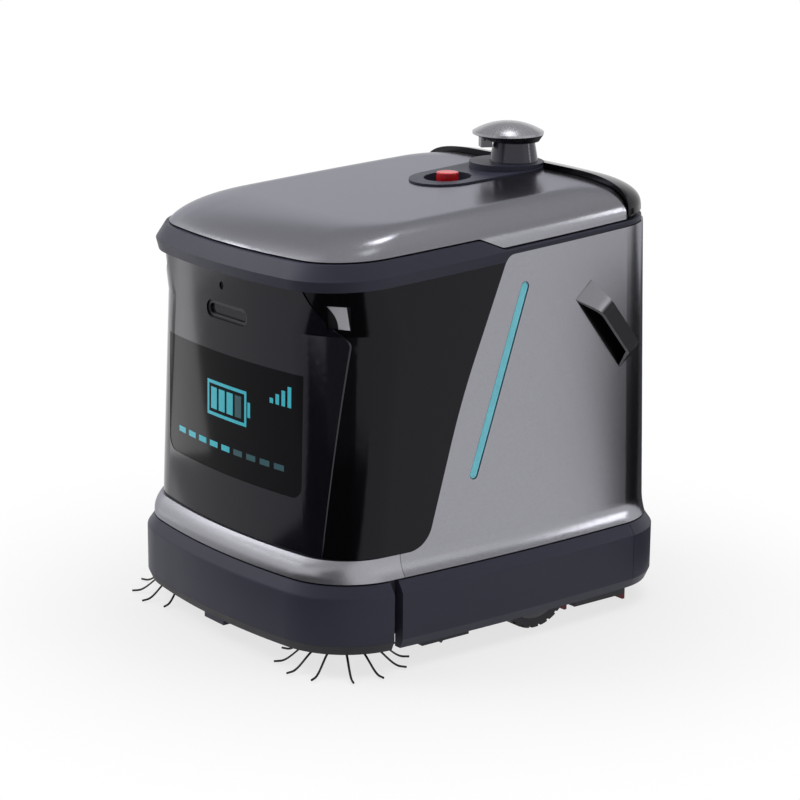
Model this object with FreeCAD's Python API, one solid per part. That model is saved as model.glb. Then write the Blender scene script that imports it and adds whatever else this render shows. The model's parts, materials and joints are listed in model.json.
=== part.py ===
"""Self-driving floor cleaning robot, as the separate pieces it is assembled from.

Millimetres. The front faces -Y, +Z is up, the floor is z = 0 and the origin lies on the floor
in the middle of the plan. Pieces made for the right side (+X) are mirrored for the left.
"""
import FreeCAD, Part
import math
import os

from FreeCAD import Vector

os.makedirs("parts", exist_ok=True)

# Plan of the skirt: four gentle bows joined by round corners
HALF_WIDTH = 225.0
HALF_LENGTH = 280.0
FRONT_BOW = 880.0
SIDE_BOW = 3300.0
REAR_BOW = 1200.0
FRONT_CORNER = 99.0
REAR_CORNER = 91.0
LEAST_CORNER = 24.0

# Clearances shared by pieces that meet
SEAT = 0.2
SEAM = 0.6
RUNNING = 0.05
PARTING_GAP = 2.0

# Skirt, bumper and its rubber lip
LIP_BOTTOM = 26.0
SKIRT_BOTTOM = 37.5
SKIRT_FACE_TOP = 93.0
SKIRT_TOP = 106.0
LIP_INSET = 5.0
SKIRT_TOP_FRONT_INSET = 9.0
SKIRT_TOP_SIDE_INSET = 9.0
BUMPER_WALL = 15.5
SKIRT_WALL = 14.5
BUMPER_SIDE_WALL = 12.5
BUMPER_END_FROM_FRONT = 104.0
BUMPER_END_Y = BUMPER_END_FROM_FRONT - HALF_LENGTH
SIDE_SKIRT_FROM_FRONT = 115.5
SIDE_SKIRT_FRONT_Y = SIDE_SKIRT_FROM_FRONT - HALF_LENGTH
SIDE_SKIRT_FROM_REAR = 87.0
SIDE_SKIRT_REAR_Y = HALF_LENGTH - SIDE_SKIRT_FROM_REAR
BUMPER_TRAVEL = 8.0
BUMPER_ROUND = 5.0
TAB_HALF_WIDTH = 20.0
TAB_BOTTOM = 20.0
TAB_DEPTH = 10.0
GUIDE_PIN_RADIUS = 4.0
GUIDE_PIN_FROM_SIDE = 130.0
GUIDE_PIN_X = HALF_WIDTH - GUIDE_PIN_FROM_SIDE
GUIDE_PIN_Z = 74.0
GUIDE_PIN_LENGTH = 34.0
GUIDE_BOSS_RADIUS = 9.0

# Base tray
BASE_WALL = 4.0
BASE_FRONT_INSET = BUMPER_WALL + BUMPER_TRAVEL + 1.5
BASE_SIDE_INSET = SKIRT_WALL + SEAT
BASE_WALL_BOTTOM = 42.0
DECK_BOTTOM = 100.0
DECK_TOP = 106.0
UPSTAND_TOP = 150.0

# Body panels
BODY_BOTTOM = SKIRT_TOP + PARTING_GAP
FLARE_TOP = 133.0
BODY_TOP = 460.0
BODY_FRONT_INSET = 25.0
BODY_SIDE_INSET = 18.5
BODY_REAR_INSET = 10.5
BODY_TAPER = 5.0
BODY_REAR_TAPER = 13.0
BAND_TOP_FRONT_INSET = 20.5
BODY_FOOT_ROUND = -9.0
BODY_NECK_ROUND = 19.0
BODY_HEAD_ROUND = -14.0
BODY_NECK_DROP = 72.0
BODY_NECK_Z = BODY_TOP - BODY_NECK_DROP
BODY_HEAD_DROP = 5.0
BODY_HEAD_Z = BODY_TOP - BODY_HEAD_DROP
PANEL_WALL = 3.0
FLARE_STEPS = 5
FRONT_LEDGE = 2.5
BAND_SEAM_FROM_FRONT = 125.0
BAND_SEAM_Y = BAND_SEAM_FROM_FRONT - HALF_LENGTH
SLANT_FOOT_FROM_FRONT = 162.0
SLANT_FOOT_Y = SLANT_FOOT_FROM_FRONT - HALF_LENGTH
SLANT_MID_FROM_FRONT = 211.0
SLANT_MID_Y = SLANT_MID_FROM_FRONT - HALF_LENGTH
SLANT_MID_Z = 301.0
SLANT_TOP_FROM_FRONT = 278.0
SLANT_TOP_Y = SLANT_TOP_FROM_FRONT - HALF_LENGTH
SLANT_FOOT_ROUND = 34.0
SLANT_MID_ROUND = 900.0
SLANT_TOP_ROUND = 12.0
REAR_PANEL_FROM_SIDE = 110.0
REAR_PANEL_HALF_WIDTH = HALF_WIDTH - REAR_PANEL_FROM_SIDE
BODY_FORM_RISE = 40.0
BODY_FORM_TOP = BODY_TOP + BODY_FORM_RISE

# Front panel, its screen and cameras
FRONT_PANEL_FROM_SIDE = 45.0
FRONT_PANEL_HALF_WIDTH = HALF_WIDTH - FRONT_PANEL_FROM_SIDE
FRONT_PANEL_FOOT_LEAN = 16.0
FRONT_PANEL_FOOT_WIDTH = FRONT_PANEL_HALF_WIDTH - FRONT_PANEL_FOOT_LEAN
FRONT_PANEL_ROUND = 14.0
FRONT_PIECE_LENGTH = 210.0
FRONT_PIECE_BACK_Y = FRONT_PIECE_LENGTH - HALF_LENGTH
BACKING_LAP = 8.0
BACKING_WALL = 2.0
FRONT_PANEL_PROUD = 1.5
FRONT_CHAMFER_RUN = 67.0
FRONT_CHAMFER_X = FRONT_PANEL_HALF_WIDTH - FRONT_CHAMFER_RUN
FRONT_CHAMFER_DROP = 79.0
FRONT_CHAMFER_Z = BODY_TOP - FRONT_CHAMFER_DROP
SCREEN_SIDE_MARGIN = 44.0
SCREEN_HALF_WIDTH = FRONT_PANEL_HALF_WIDTH - SCREEN_SIDE_MARGIN
SCREEN_BOTTOM = 197.0
SCREEN_TOP = 340.0
SCREEN_ROUND = 16.0
SCREEN_SINK = 0.5
SCREEN_DEPTH = 1.6
CAMERA_SLOT_LENGTH = 82.0
CAMERA_SLOT_HEIGHT = 20.0
CAMERA_SLOT_DROP = 71.0
CAMERA_SLOT_Z = BODY_TOP - CAMERA_SLOT_DROP
CAMERA_DEPTH = 9.0
CAMERA_RIM = 4.0
CAMERA_WINDOW_SINK = 5.0
CAMERA_WINDOW_THICKNESS = 2.0
FRONT_LENS_X = -9.0
FRONT_LENS_DROP = 40.5
FRONT_LENS_Z = BODY_TOP - FRONT_LENS_DROP
FRONT_LENS_RADIUS = 4.5
CORNER_SENSOR_WIDTH = 27.0
CORNER_SENSOR_FOOT_DROP = 63.0
CORNER_SENSOR_BOTTOM = BODY_TOP - CORNER_SENSOR_FOOT_DROP
CORNER_SENSOR_HEAD_DROP = 37.0
CORNER_SENSOR_TOP = BODY_TOP - CORNER_SENSOR_HEAD_DROP
CORNER_SENSOR_SINK = 5.0
CORNER_SENSOR_DEPTH = 10.0
CORNER_SENSOR_ANGLE = 38.0
CORNER_LINE_FROM_SIDE = 225.0
CORNER_LINE_FROM_FRONT = 280.0
CORNER_LINE_X = HALF_WIDTH - CORNER_LINE_FROM_SIDE
CORNER_LINE_Y = CORNER_LINE_FROM_FRONT - HALF_LENGTH
CORNER_LENS_WIDTH = 15.0
CORNER_LENS_HEIGHT = 13.0

# Collar and lid; their heights are those over the middle of the plan, and they rise to the back
TOP_SLOPE = 0.058
TILT_RISE = 10.0
TILT_Z = BODY_TOP + TILT_RISE
COLLAR_FOOT_DROP = 7.0
COLLAR_BOTTOM = BODY_TOP - COLLAR_FOOT_DROP
COLLAR_WIDE_RISE = 5.4
COLLAR_WIDEST = BODY_TOP + COLLAR_WIDE_RISE
COLLAR_BOTTOM_FRONT_INSET = 15.5
COLLAR_BOTTOM_SIDE_INSET = 17.0
COLLAR_WIDE_FRONT_INSET = 13.0
COLLAR_WIDE_SIDE_INSET = 14.0
COLLAR_BACK_INSET = 26.0
COLLAR_ROUND = 7.0
COLLAR_INNER_FRONT_INSET = 46.0
COLLAR_INNER_SIDE_INSET = 34.0
LID_INSET = 27.0
LID_EDGE_FRONT_RISE = 24.0
LID_EDGE_FRONT = BODY_TOP + LID_EDGE_FRONT_RISE
LID_EDGE_REAR_RISE = 8.5
LID_EDGE_REAR = BODY_TOP + LID_EDGE_REAR_RISE
LID_STEP_FRONT_FROM_FRONT = 241.0
LID_STEP_FRONT_Y = LID_STEP_FRONT_FROM_FRONT - HALF_LENGTH
LID_STEP_REAR_FROM_FRONT = 274.0
LID_STEP_REAR_Y = LID_STEP_REAR_FROM_FRONT - HALF_LENGTH
LID_STEP_ROUND = 14.0
LID_CROWN_RISE = 49.0
LID_TOP = BODY_TOP + LID_CROWN_RISE
LID_SHOULDER_RISE = 14.0
LID_SHOULDER_START = BODY_TOP + LID_SHOULDER_RISE
LID_SHOULDER_WIDTH = 52.0
LID_FRONT_SHOULDER_WIDTH = 105.0
LID_FRONT_ROUND = 30.0
LID_REAR_ROUND = 60.0
LID_REAR_SHOULDER_WIDTH = 78.0
LID_STEPS = 7
LID_WALL = 3.0
TRIM_FROM_REAR = 92.0
TRIM_FRONT_Y = HALF_LENGTH - TRIM_FROM_REAR
TRIM_GROOVE = 2.0
TRIM_TONGUE = 8.0
TRIM_PROUD = 1.5
TRIM_RISE = 6.0

# Sensor pod on the lid
LIDAR_FROM_REAR = 104.0
LIDAR_Y = HALF_LENGTH - LIDAR_FROM_REAR
ESTOP_FROM_REAR = 209.0
ESTOP_Y = HALF_LENGTH - ESTOP_FROM_REAR
BEZEL_FRONT_RADIUS = 45.0
BEZEL_REAR_RADIUS = 49.0
FLANGE_RADIUS = 46.0
FLANGE_FROM_REAR = 116.0
FLANGE_Y = HALF_LENGTH - FLANGE_FROM_REAR
FLANGE_RISE = 52.0
FLANGE_BOTTOM = BODY_TOP + FLANGE_RISE
CAP_FROM_REAR = 114.0
CAP_Y = HALF_LENGTH - CAP_FROM_REAR
BEZEL_FOOT_RISE = 37.0
BEZEL_BOTTOM = BODY_TOP + BEZEL_FOOT_RISE
BEZEL_CROWN_RISE = 51.0
BEZEL_TOP = BODY_TOP + BEZEL_CROWN_RISE
BEZEL_POCKET_RADIUS = 29.0
BEZEL_POCKET_RISE = 45.5
BEZEL_POCKET_FLOOR = BODY_TOP + BEZEL_POCKET_RISE
LIDAR_FLANGE_RISE = 66.0
LIDAR_FLANGE_TOP = BODY_TOP + LIDAR_FLANGE_RISE
STEM_FOOT_RADIUS = 30.0
STEM_TOP_RADIUS = 25.5
STEM_TOP = 550.0
STEM_WALL = 3.0
CAP_RADIUS = 44.0
CAP_CONE_HEIGHT = 9.5
CAP_RIM_BOTTOM = STEM_TOP + CAP_CONE_HEIGHT
CAP_RIM_HEIGHT = 3.0
CAP_RIM_TOP = CAP_RIM_BOTTOM + CAP_RIM_HEIGHT
CAP_DOME_HEIGHT = 12.5
CAP_TOP = CAP_RIM_TOP + CAP_DOME_HEIGHT
CAP_NECK_RADIUS = 31.0
SPINDLE_RADIUS = 4.0
ROTOR_RADIUS = 19.0
ROTOR_HEIGHT = STEM_TOP - LIDAR_FLANGE_TOP
ROTOR_FLAT = 13.3
SENSOR_BLOCK_WIDTH = 16.0
SENSOR_BLOCK_DEPTH = 12.0
SENSOR_BLOCK_HEIGHT = 13.0
SENSOR_BLOCK_TURN = 28.0
SENSOR_BLOCK_RISE = 6.0
ESTOP_RADIUS = 13.5
ESTOP_CROWN_RISE = 61.0
ESTOP_TOP = BODY_TOP + ESTOP_CROWN_RISE
ESTOP_HEAD_RISE = 51.0
ESTOP_HEAD_BOTTOM = BODY_TOP + ESTOP_HEAD_RISE
ESTOP_STEM_RADIUS = 8.0
ESTOP_ROUND = 1.5
ESTOP_STEM_FOOT_RISE = 35.0
ESTOP_STEM_BOTTOM = BODY_TOP + ESTOP_STEM_FOOT_RISE

# Lid hinges at the back
HINGE_FROM_REAR = 8.0
HINGE_Y = HALF_LENGTH - HINGE_FROM_REAR
HINGE_RISE = 29.0
HINGE_Z = BODY_TOP + HINGE_RISE
HINGE_FROM_SIDE = 137.0
HINGE_X = HALF_WIDTH - HINGE_FROM_SIDE
HINGE_BARREL = 6.0
HINGE_PIN = 3.0
HINGE_KNUCKLE = 10.0
HINGE_LEAF = 3.0
HINGE_LEAF_FOOT_DROP = 14.0
HINGE_LEAF_BOTTOM = BODY_TOP - HINGE_LEAF_FOOT_DROP
HINGE_LEAF_HEAD_RISE = 12.0
HINGE_LEAF_TOP = BODY_TOP + HINGE_LEAF_HEAD_RISE

# Light strips in the side panels
STRIP_TOP_FROM_FRONT = 305.0
STRIP_TOP = (STRIP_TOP_FROM_FRONT - HALF_LENGTH, 425.0)
STRIP_BOTTOM_FROM_FRONT = 228.0
STRIP_BOTTOM = (STRIP_BOTTOM_FROM_FRONT - HALF_LENGTH, 205.0)
STRIP_WIDTH = 9.5
STRIP_MARGIN = 1.2
STRIP_FLANGE = 4.0
STRIP_SINK = 0.8

# Grab handles: hooded scoops
HANDLE_UPPER_FROM_REAR = 152.0
HANDLE_UPPER = (HALF_LENGTH - HANDLE_UPPER_FROM_REAR, 415.0)
HANDLE_LOWER_FROM_REAR = 77.0
HANDLE_LOWER = (HALF_LENGTH - HANDLE_LOWER_FROM_REAR, 322.0)
HANDLE_REACH = 32.0
HANDLE_PROUD = 20.0
HANDLE_WALL = 3.0
HANDLE_CUP_DEPTH = 8.0
HANDLE_SUNK = 1.5
HANDLE_LOW_SLOPE = 20.0
HANDLE_HIGH_SLOPE = 28.0
HANDLE_BACK_SLOPE = 2.0
HANDLE_MOUTH_SLOPE = 11.0
HANDLE_ROUND = 30.0

# Tanks in their bay
BAY_FLOOR = 240.0
BAY_RIM_RISE = 6.0
BAY_RIM = BODY_TOP + BAY_RIM_RISE
BAY_WALL = 3.0
TANK_CLEARANCE = 1.7
TANK_HEAD_DROP = 14.0
TANK_TOP = BODY_TOP - TANK_HEAD_DROP
TANK_SPLIT_Y = 20.0
TANK_CAP_RADIUS = 27.0
TANK_CAP_HEIGHT = 14.0
TANK_CAP_X = 90.0
CLEAN_CAP_FROM_FRONT = 150.0
CLEAN_CAP_Y = CLEAN_CAP_FROM_FRONT - HALF_LENGTH
WASTE_CAP_FROM_REAR = 110.0
WASTE_CAP_Y = HALF_LENGTH - WASTE_CAP_FROM_REAR
TANK_CAP_RIB_LENGTH = 43.0
TANK_CAP_RIB_WIDTH = 6.0
TANK_CAP_RIB_HEIGHT = 5.0
TANK_WALL = 3.0
TANK_NECK_RADIUS = 20.0
TANK_GRIP_LENGTH = 110.0
TANK_GRIP_WIDTH = 34.0
TANK_GRIP_DEPTH = 26.0
TANK_GRIP_BAR = 14.0
POST_RADIUS = 10.0
POST_FOOT_RADIUS = 18.0
POST_FOOT_HEIGHT = 6.0
POST_FROM_SIDE = 75.0
POST_X = HALF_WIDTH - POST_FROM_SIDE
POST_FROM_FRONT = 130.0
POST_FRONT_Y = POST_FROM_FRONT - HALF_LENGTH
POST_FROM_REAR = 95.0
POST_REAR_Y = HALF_LENGTH - POST_FROM_REAR

# Inner equipment on the deck
BATTERY_WIDTH = 190.0
BATTERY_LENGTH = 150.0
BATTERY_HEIGHT = 112.0
BATTERY_Y = -75.0
BATTERY_ROUND = 8.0
FAN_RADIUS = 55.0
FAN_HEIGHT = 70.0
FAN_Y = 80.0
FAN_DUCT_RADIUS = 22.0
CONTROL_WIDTH = 200.0
CONTROL_LENGTH = 50.0
CONTROL_HEIGHT = 90.0
CONTROL_FROM_REAR = 90.0
CONTROL_Y = HALF_LENGTH - CONTROL_FROM_REAR
CONTROL_GROOVES = 4
CONTROL_GROOVE_PITCH = 10.0
CONTROL_GROOVE_WIDTH = 5.0
CONTROL_GROOVE_DEPTH = 10.0

# Drive wheels
WHEEL_RADIUS = 55.0
WHEEL_Y = 52.0
WHEEL_FROM_SIDE = 24.0
WHEEL_OUTER_X = HALF_WIDTH - WHEEL_FROM_SIDE
WHEEL_WIDTH = 27.0
WHEEL_INNER_X = WHEEL_OUTER_X - WHEEL_WIDTH
RIM_RADIUS = 43.0
RIM_WALL = 5.0
RIM_HOLES = 6
RIM_WEB = 2.0
TREAD_GROOVES = 24
TREAD_DEPTH = 2.5
TREAD_WIDTH = 4.0
AXLE_RADIUS = 6.0
RIM_HUB_RADIUS = 18.0
RIM_DISH = 9.0
AXLE_END_SUNK = 7.0
AXLE_END_X = WHEEL_OUTER_X - AXLE_END_SUNK
MOTOR_RADIUS = 24.0
MOTOR_WHEEL_GAP = 11.0
MOTOR_OUTER_X = WHEEL_INNER_X - MOTOR_WHEEL_GAP
MOTOR_LENGTH = 67.0
MOTOR_INNER_X = MOTOR_OUTER_X - MOTOR_LENGTH
MOTOR_BRACKET_HALF = 18.0
MOTOR_BRACKET_LENGTH = 54.0
ARCH_MARGIN = 7.0
ARCH_WALL = 2.5
ARCH_OUTER_MARGIN = 2.0
ARCH_TOP = 118.0

# Front caster
CASTER_FROM_FRONT = 120.0
CASTER_Y = CASTER_FROM_FRONT - HALF_LENGTH
CASTER_TRAIL = 15.0
CASTER_RADIUS = 25.0
CASTER_WIDTH = 20.0
CASTER_AXLE = 4.0
CASTER_STEM = 7.0
CASTER_PLATE_RADIUS = 22.0
CASTER_PLATE = 6.0
CASTER_LEG_REACH = 15.4
CASTER_LEG = 3.5
CASTER_LEG_GAP = 1.2

# Side brushes
BRUSH_FROM_SIDE = 72.0
BRUSH_X = HALF_WIDTH - BRUSH_FROM_SIDE
BRUSH_FROM_FRONT = 80.0
BRUSH_Y = BRUSH_FROM_FRONT - HALF_LENGTH
BRUSH_TIP_RADIUS = 80.0
BRUSH_HUB_RADIUS = 24.0
BRUSH_HUB_BOTTOM = 19.0
BRUSH_HUB_TOP = 40.0
BRUSH_TUFTS = 12
BRUSH_TUFT_WIDTH = 3.0
BRUSH_KNEE_RADIUS = 46.0
BRUSH_KNEE_Z = 12.0
BRUSH_ROOT_Z = 27.0
BRUSH_TIP_Z = 1.5
BRUSH_MOTOR_RADIUS = 20.0
BRUSH_MOTOR_BOTTOM = 46.0
BRUSH_SHAFT = 5.0
BRUSH_SHAFT_BOTTOM = 26.0

# Scrubbing deck and its roller
ROLLER_FROM_FRONT = 205.0
ROLLER_Y = ROLLER_FROM_FRONT - HALF_LENGTH
ROLLER_Z = 31.0
ROLLER_RADIUS = 29.5
ROLLER_ROOT = 23.0
ROLLER_CORE = 12.0
ROLLER_JOURNAL = 6.0
ROLLER_LOBES = 9
ROLLER_TWIST = 110.0
ROLLER_STEPS = 5
ROLLER_END_GAP = 2.0
HOUSING_FROM_FRONT = 170.0
HOUSING_FRONT_Y = HOUSING_FROM_FRONT - HALF_LENGTH
HOUSING_LENGTH = 70.0
HOUSING_REAR_Y = HOUSING_FRONT_Y + HOUSING_LENGTH
HOUSING_BOTTOM = 8.0
HOUSING_TOP = 76.0
HOUSING_BEVEL = 13.0
HOUSING_WALL = 4.0
HOUSING_FROM_SIDE = 37.0
HOUSING_HALF_LENGTH = HALF_WIDTH - HOUSING_FROM_SIDE
HOUSING_FLANGE = 18.0
HOUSING_FLANGE_Y = HOUSING_REAR_Y + HOUSING_FLANGE
HOUSING_FLANGE_BOTTOM = 48.0
HOUSING_FLANGE_TOP = 56.0
LIFT_POST_RADIUS = 6.0
LIFT_POST_FROM_SIDE = 107.0
LIFT_POST_X = HALF_WIDTH - LIFT_POST_FROM_SIDE
LIFT_LUG = 20.0
DECK_POST_REACH = 9.0
DECK_POST_Y = HOUSING_REAR_Y + DECK_POST_REACH
DECK_POST_BOTTOM = 42.0

# Squeegee
SQUEEGEE_WHEEL_GAP = 14.0
SQUEEGEE_FRONT_Y = WHEEL_Y + WHEEL_RADIUS + SQUEEGEE_WHEEL_GAP
SQUEEGEE_WIDTH = 82.0
SQUEEGEE_REAR_Y = SQUEEGEE_FRONT_Y + SQUEEGEE_WIDTH
SQUEEGEE_BOTTOM = 9.0
SQUEEGEE_TOP = 56.0
SQUEEGEE_FROM_SIDE = 30.5
SQUEEGEE_HALF_LENGTH = HALF_WIDTH - SQUEEGEE_FROM_SIDE
SQUEEGEE_BEVEL = 16.0
SQUEEGEE_POST_REACH = 41.0
SQUEEGEE_POST_Y = SQUEEGEE_FRONT_Y + SQUEEGEE_POST_REACH
SQUEEGEE_POST_BOTTOM = 36.0
SQUEEGEE_PORT_RADIUS = 18.0
BLADE_THICKNESS = 4.0
BLADE_END_MARGIN = 3.5
BLADE_HALF_LENGTH = SQUEEGEE_HALF_LENGTH - BLADE_END_MARGIN
BLADE_TOP = 40.0
BLADE_BOTTOM = 1.0
FRONT_BLADE_END_MARGIN = 14.5
FRONT_BLADE_HALF_LENGTH = SQUEEGEE_HALF_LENGTH - FRONT_BLADE_END_MARGIN
FRONT_BLADE_TOP = 36.0
FRONT_BLADE_BOTTOM = 2.0
STRAP_END_MARGIN = 2.0
STRAP_HALF_LENGTH = BLADE_HALF_LENGTH - STRAP_END_MARGIN
BLADE_STRAP = 5.0

# Rear contacts and power button
CONTACT_X = 36.0
CONTACT_WIDTH = 30.0
CONTACT_HEIGHT = 18.0
CONTACT_Z = 66.0
CONTACT_DEPTH = 5.0
BUTTON_FROM_SEAM = 53.0
BUTTON_X = REAR_PANEL_HALF_WIDTH - BUTTON_FROM_SEAM
BUTTON_DROP = 62.0
BUTTON_Z = BODY_TOP - BUTTON_DROP
BUTTON_RADIUS = 9.0
BUTTON_FLANGE = 12.0
BUTTON_PROUD = 3.0
BUTTON_FLANGE_THICKNESS = 3.0
BUTTON_GAP = 0.3

# A length that reaches past everything, for cutting tools
BEYOND = 700.0


def arc_meet(centre_a, radius_a, centre_b, radius_b, toward_y):
    """Point at radius_a from one centre and radius_b from the other, the one further toward_y."""
    link = centre_b - centre_a
    reach = link.Length
    along = (radius_a ** 2 - radius_b ** 2 + reach ** 2) / (2 * reach)
    across = math.sqrt(radius_a ** 2 - along ** 2)
    middle = centre_a + link * (along / reach)
    offset = Vector(-link.y, link.x, 0) * (across / reach)
    return max((middle + offset, middle - offset), key=lambda point: point.y * toward_y)


def beyond(centre, through, radius):
    """Point at radius from centre, on the line from centre through another point."""
    return centre + (through - centre).normalize() * radius


def bisect(centre, start, end, radius):
    """Middle of the arc of radius about centre from start to end."""
    return centre + ((start - centre).normalize() + (end - centre).normalize()).normalize() * radius


def plan_wire(z, front, side, rear, side_back=None, front_round=0.0, rear_round=0.0):
    """The robot's plan at height z, drawn in by an inset at each side.

    The sides may lean inwards to the back; front_round and rear_round are added to the corners' radii."""
    if side_back is None:
        side_back = side
    lean = (side_back - side) / (HALF_LENGTH + HALF_LENGTH)
    side_middle = (side + side_back) / 2
    side_centre_y = -lean * SIDE_BOW
    side_reach = HALF_WIDTH - side_middle + side_centre_y ** 2 / (2 * SIDE_BOW)
    side_centre = Vector(side_reach - SIDE_BOW, side_centre_y, 0)
    ends = []
    for sign, bow, inset, corner, near in ((-1, FRONT_BOW, front, FRONT_CORNER + front_round, side),
                                           (1, REAR_BOW, rear, REAR_CORNER + rear_round, side_back)):
        corner_radius = max(corner - near, LEAST_CORNER)
        end_radius = bow - inset
        end_centre = Vector(0, sign * (HALF_LENGTH - bow), 0)
        centre = arc_meet(end_centre, end_radius - corner_radius, side_centre, SIDE_BOW - corner_radius, sign)
        on_end = beyond(end_centre, centre, end_radius)
        on_side = beyond(side_centre, centre, SIDE_BOW)
        ends.append((on_end, bisect(centre, on_end, on_side, corner_radius), on_side,
                     Vector(0, sign * (HALF_LENGTH - inset), 0)))
    (front_end, front_corner, front_side, front_middle), (rear_end, rear_corner, rear_side, rear_middle) = ends
    side_point = bisect(side_centre, front_side, rear_side, SIDE_BOW)

    def left(point):
        return Vector(-point.x, point.y, 0)

    runs = ((left(front_end), front_middle, front_end), (front_end, front_corner, front_side),
            (front_side, side_point, rear_side), (rear_side, rear_corner, rear_end),
            (rear_end, rear_middle, left(rear_end)), (left(rear_end), left(rear_corner), left(rear_side)),
            (left(rear_side), left(side_point), left(front_side)),
            (left(front_side), left(front_corner), left(front_end)))
    wire = Part.Wire([Part.Arc(*run).toShape() for run in runs])
    wire.translate(Vector(0, 0, z))
    return wire


def prism(z_low, z_high, front, side, rear, front_round=0.0):
    """Upright solid on the robot's plan."""
    plan = Part.Face(plan_wire(z_low, front, side, rear, None, front_round))
    return plan.extrude(Vector(0, 0, z_high - z_low))


def rounded_wire(corners, place):
    """Closed wire through (u, v, radius) corners, each rounded by an arc; place puts (u, v) in space."""
    count = len(corners)
    joints = []
    for index, (u, v, radius) in enumerate(corners):
        corner = Vector(u, v, 0)
        to_last = (Vector(corners[index - 1][0], corners[index - 1][1], 0) - corner).normalize()
        to_next = (Vector(*corners[(index + 1) % count][:2], 0) - corner).normalize()
        if radius == 0:
            joints.append((corner, None, corner))
            continue
        half = to_last.getAngle(to_next) / 2
        run = radius / math.tan(half)
        bisector = (to_last + to_next).normalize()
        deep = corner + bisector * (radius / math.sin(half) - radius)
        joints.append((corner + to_last * run, deep, corner + to_next * run))
    edges = []
    for index, (enter, deep, leave) in enumerate(joints):
        if deep is not None:
            edges.append(Part.Arc(place(enter), place(deep), place(leave)).toShape())
        following = joints[(index + 1) % count][0]
        if (following - leave).Length > 1e-6:
            edges.append(Part.makeLine(place(leave), place(following)))
    return Part.Wire(edges)


def side_slab(corners, x_low, x_high):
    """A (y, z) outline carried along X."""
    wire = rounded_wire(corners, lambda p: Vector(x_low, p.x, p.y))
    return Part.Face(wire).extrude(Vector(x_high - x_low, 0, 0))


def front_slab(corners, y_low, y_high):
    """An (x, z) outline carried along Y."""
    wire = rounded_wire(corners, lambda p: Vector(p.x, y_low, p.y))
    return Part.Face(wire).extrude(Vector(0, y_high - y_low, 0))


def block(x_low, x_high, y_low, y_high, z_low, z_high):
    return Part.makeBox(x_high - x_low, y_high - y_low, z_high - z_low, Vector(x_low, y_low, z_low))


def upright(x, y, z_low, z_high, radius):
    return Part.makeCylinder(radius, z_high - z_low, Vector(x, y, z_low))


def crosswise(x_low, x_high, y, z, radius):
    return Part.makeCylinder(radius, x_high - x_low, Vector(x_low, y, z), Vector(1, 0, 0))


def lengthwise(x, y_low, y_high, z, radius):
    return Part.makeCylinder(radius, y_high - y_low, Vector(x, y_low, z), Vector(0, 1, 0))


def mirrored(shape):
    return shape.mirror(Vector(0, 0, 0), Vector(1, 0, 0))


def both_sides(shape):
    return Part.makeCompound([shape, mirrored(shape)])


def turned(profile, x, y):
    """Solid of revolution about an upright axis from (radius, z) points."""
    points = [Vector(x + radius, y, z) for radius, z in profile]
    return Part.Face(Part.makePolygon(points + points[:1])).revolve(Vector(x, y, 0), Vector(0, 0, 1), 360)


def stadium(u, v, length, height):
    """Corners of a slot with round ends, lying along u."""
    half = length / 2
    rise = height / 2
    round_end = rise - 1e-3
    return [(u - half, v - rise, round_end), (u + half, v - rise, round_end),
            (u + half, v + rise, round_end), (u - half, v + rise, round_end)]


# Forms that several pieces are cut from

def top_line(y, z):
    """Height at y of a line on the sloping top that passes z over the middle of the plan."""
    return z + TOP_SLOPE * y


def tilted(shape):
    """A level shape laid on the slope of the top."""
    laid = shape.copy()
    laid.rotate(Vector(0, 0, TILT_Z), Vector(1, 0, 0), math.degrees(math.atan(TOP_SLOPE)))
    return laid


def skirt_form():
    """Outer form of the skirt: an undercut lip, an upright face and a sloped shoulder."""
    sections = [plan_wire(LIP_BOTTOM, LIP_INSET, LIP_INSET, LIP_INSET), plan_wire(SKIRT_BOTTOM, 0, 0, 0),
                plan_wire(SKIRT_FACE_TOP, 0, 0, 0),
                plan_wire(SKIRT_TOP, SKIRT_TOP_FRONT_INSET, SKIRT_TOP_SIDE_INSET, SKIRT_TOP_SIDE_INSET)]
    return Part.makeLoft(sections, True, True)


def front_inset(z):
    """Inset of the body's tapering front wall at height z."""
    return BODY_FRONT_INSET + BODY_TAPER * (z - FLARE_TOP) / (BODY_FORM_TOP - FLARE_TOP)


def side_inset(z):
    """Inset of the body's tapering side walls at height z."""
    return BODY_SIDE_INSET + BODY_TAPER * (z - FLARE_TOP) / (BODY_FORM_TOP - FLARE_TOP)


def rear_inset(z):
    """Inset of the body's tapering rear wall at height z."""
    return BODY_REAR_INSET + BODY_REAR_TAPER * (z - FLARE_TOP) / (BODY_FORM_TOP - FLARE_TOP)


def flare_form(depth, top_front_inset):
    """The body's flared foot, drawn in by depth: hollow at the sides, a full ledge at the front with its own
    inset at the top."""
    sections = []
    for step in range(FLARE_STEPS):
        rise = step / (FLARE_STEPS - 1)
        drawn = 1 - (1 - rise) ** 2
        front = SKIRT_TOP_FRONT_INSET + (top_front_inset - SKIRT_TOP_FRONT_INSET) * rise ** FRONT_LEDGE + depth
        side = SKIRT_TOP_SIDE_INSET + (BODY_SIDE_INSET - SKIRT_TOP_SIDE_INSET) * drawn + depth
        rear = SKIRT_TOP_SIDE_INSET + (BODY_REAR_INSET - SKIRT_TOP_SIDE_INSET) * drawn + depth
        z = BODY_BOTTOM + (FLARE_TOP - BODY_BOTTOM) * rise
        sections.append(plan_wire(z, front, side, rear, None, BODY_FOOT_ROUND * drawn))
    return Part.makeLoft(sections, True, False)


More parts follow.
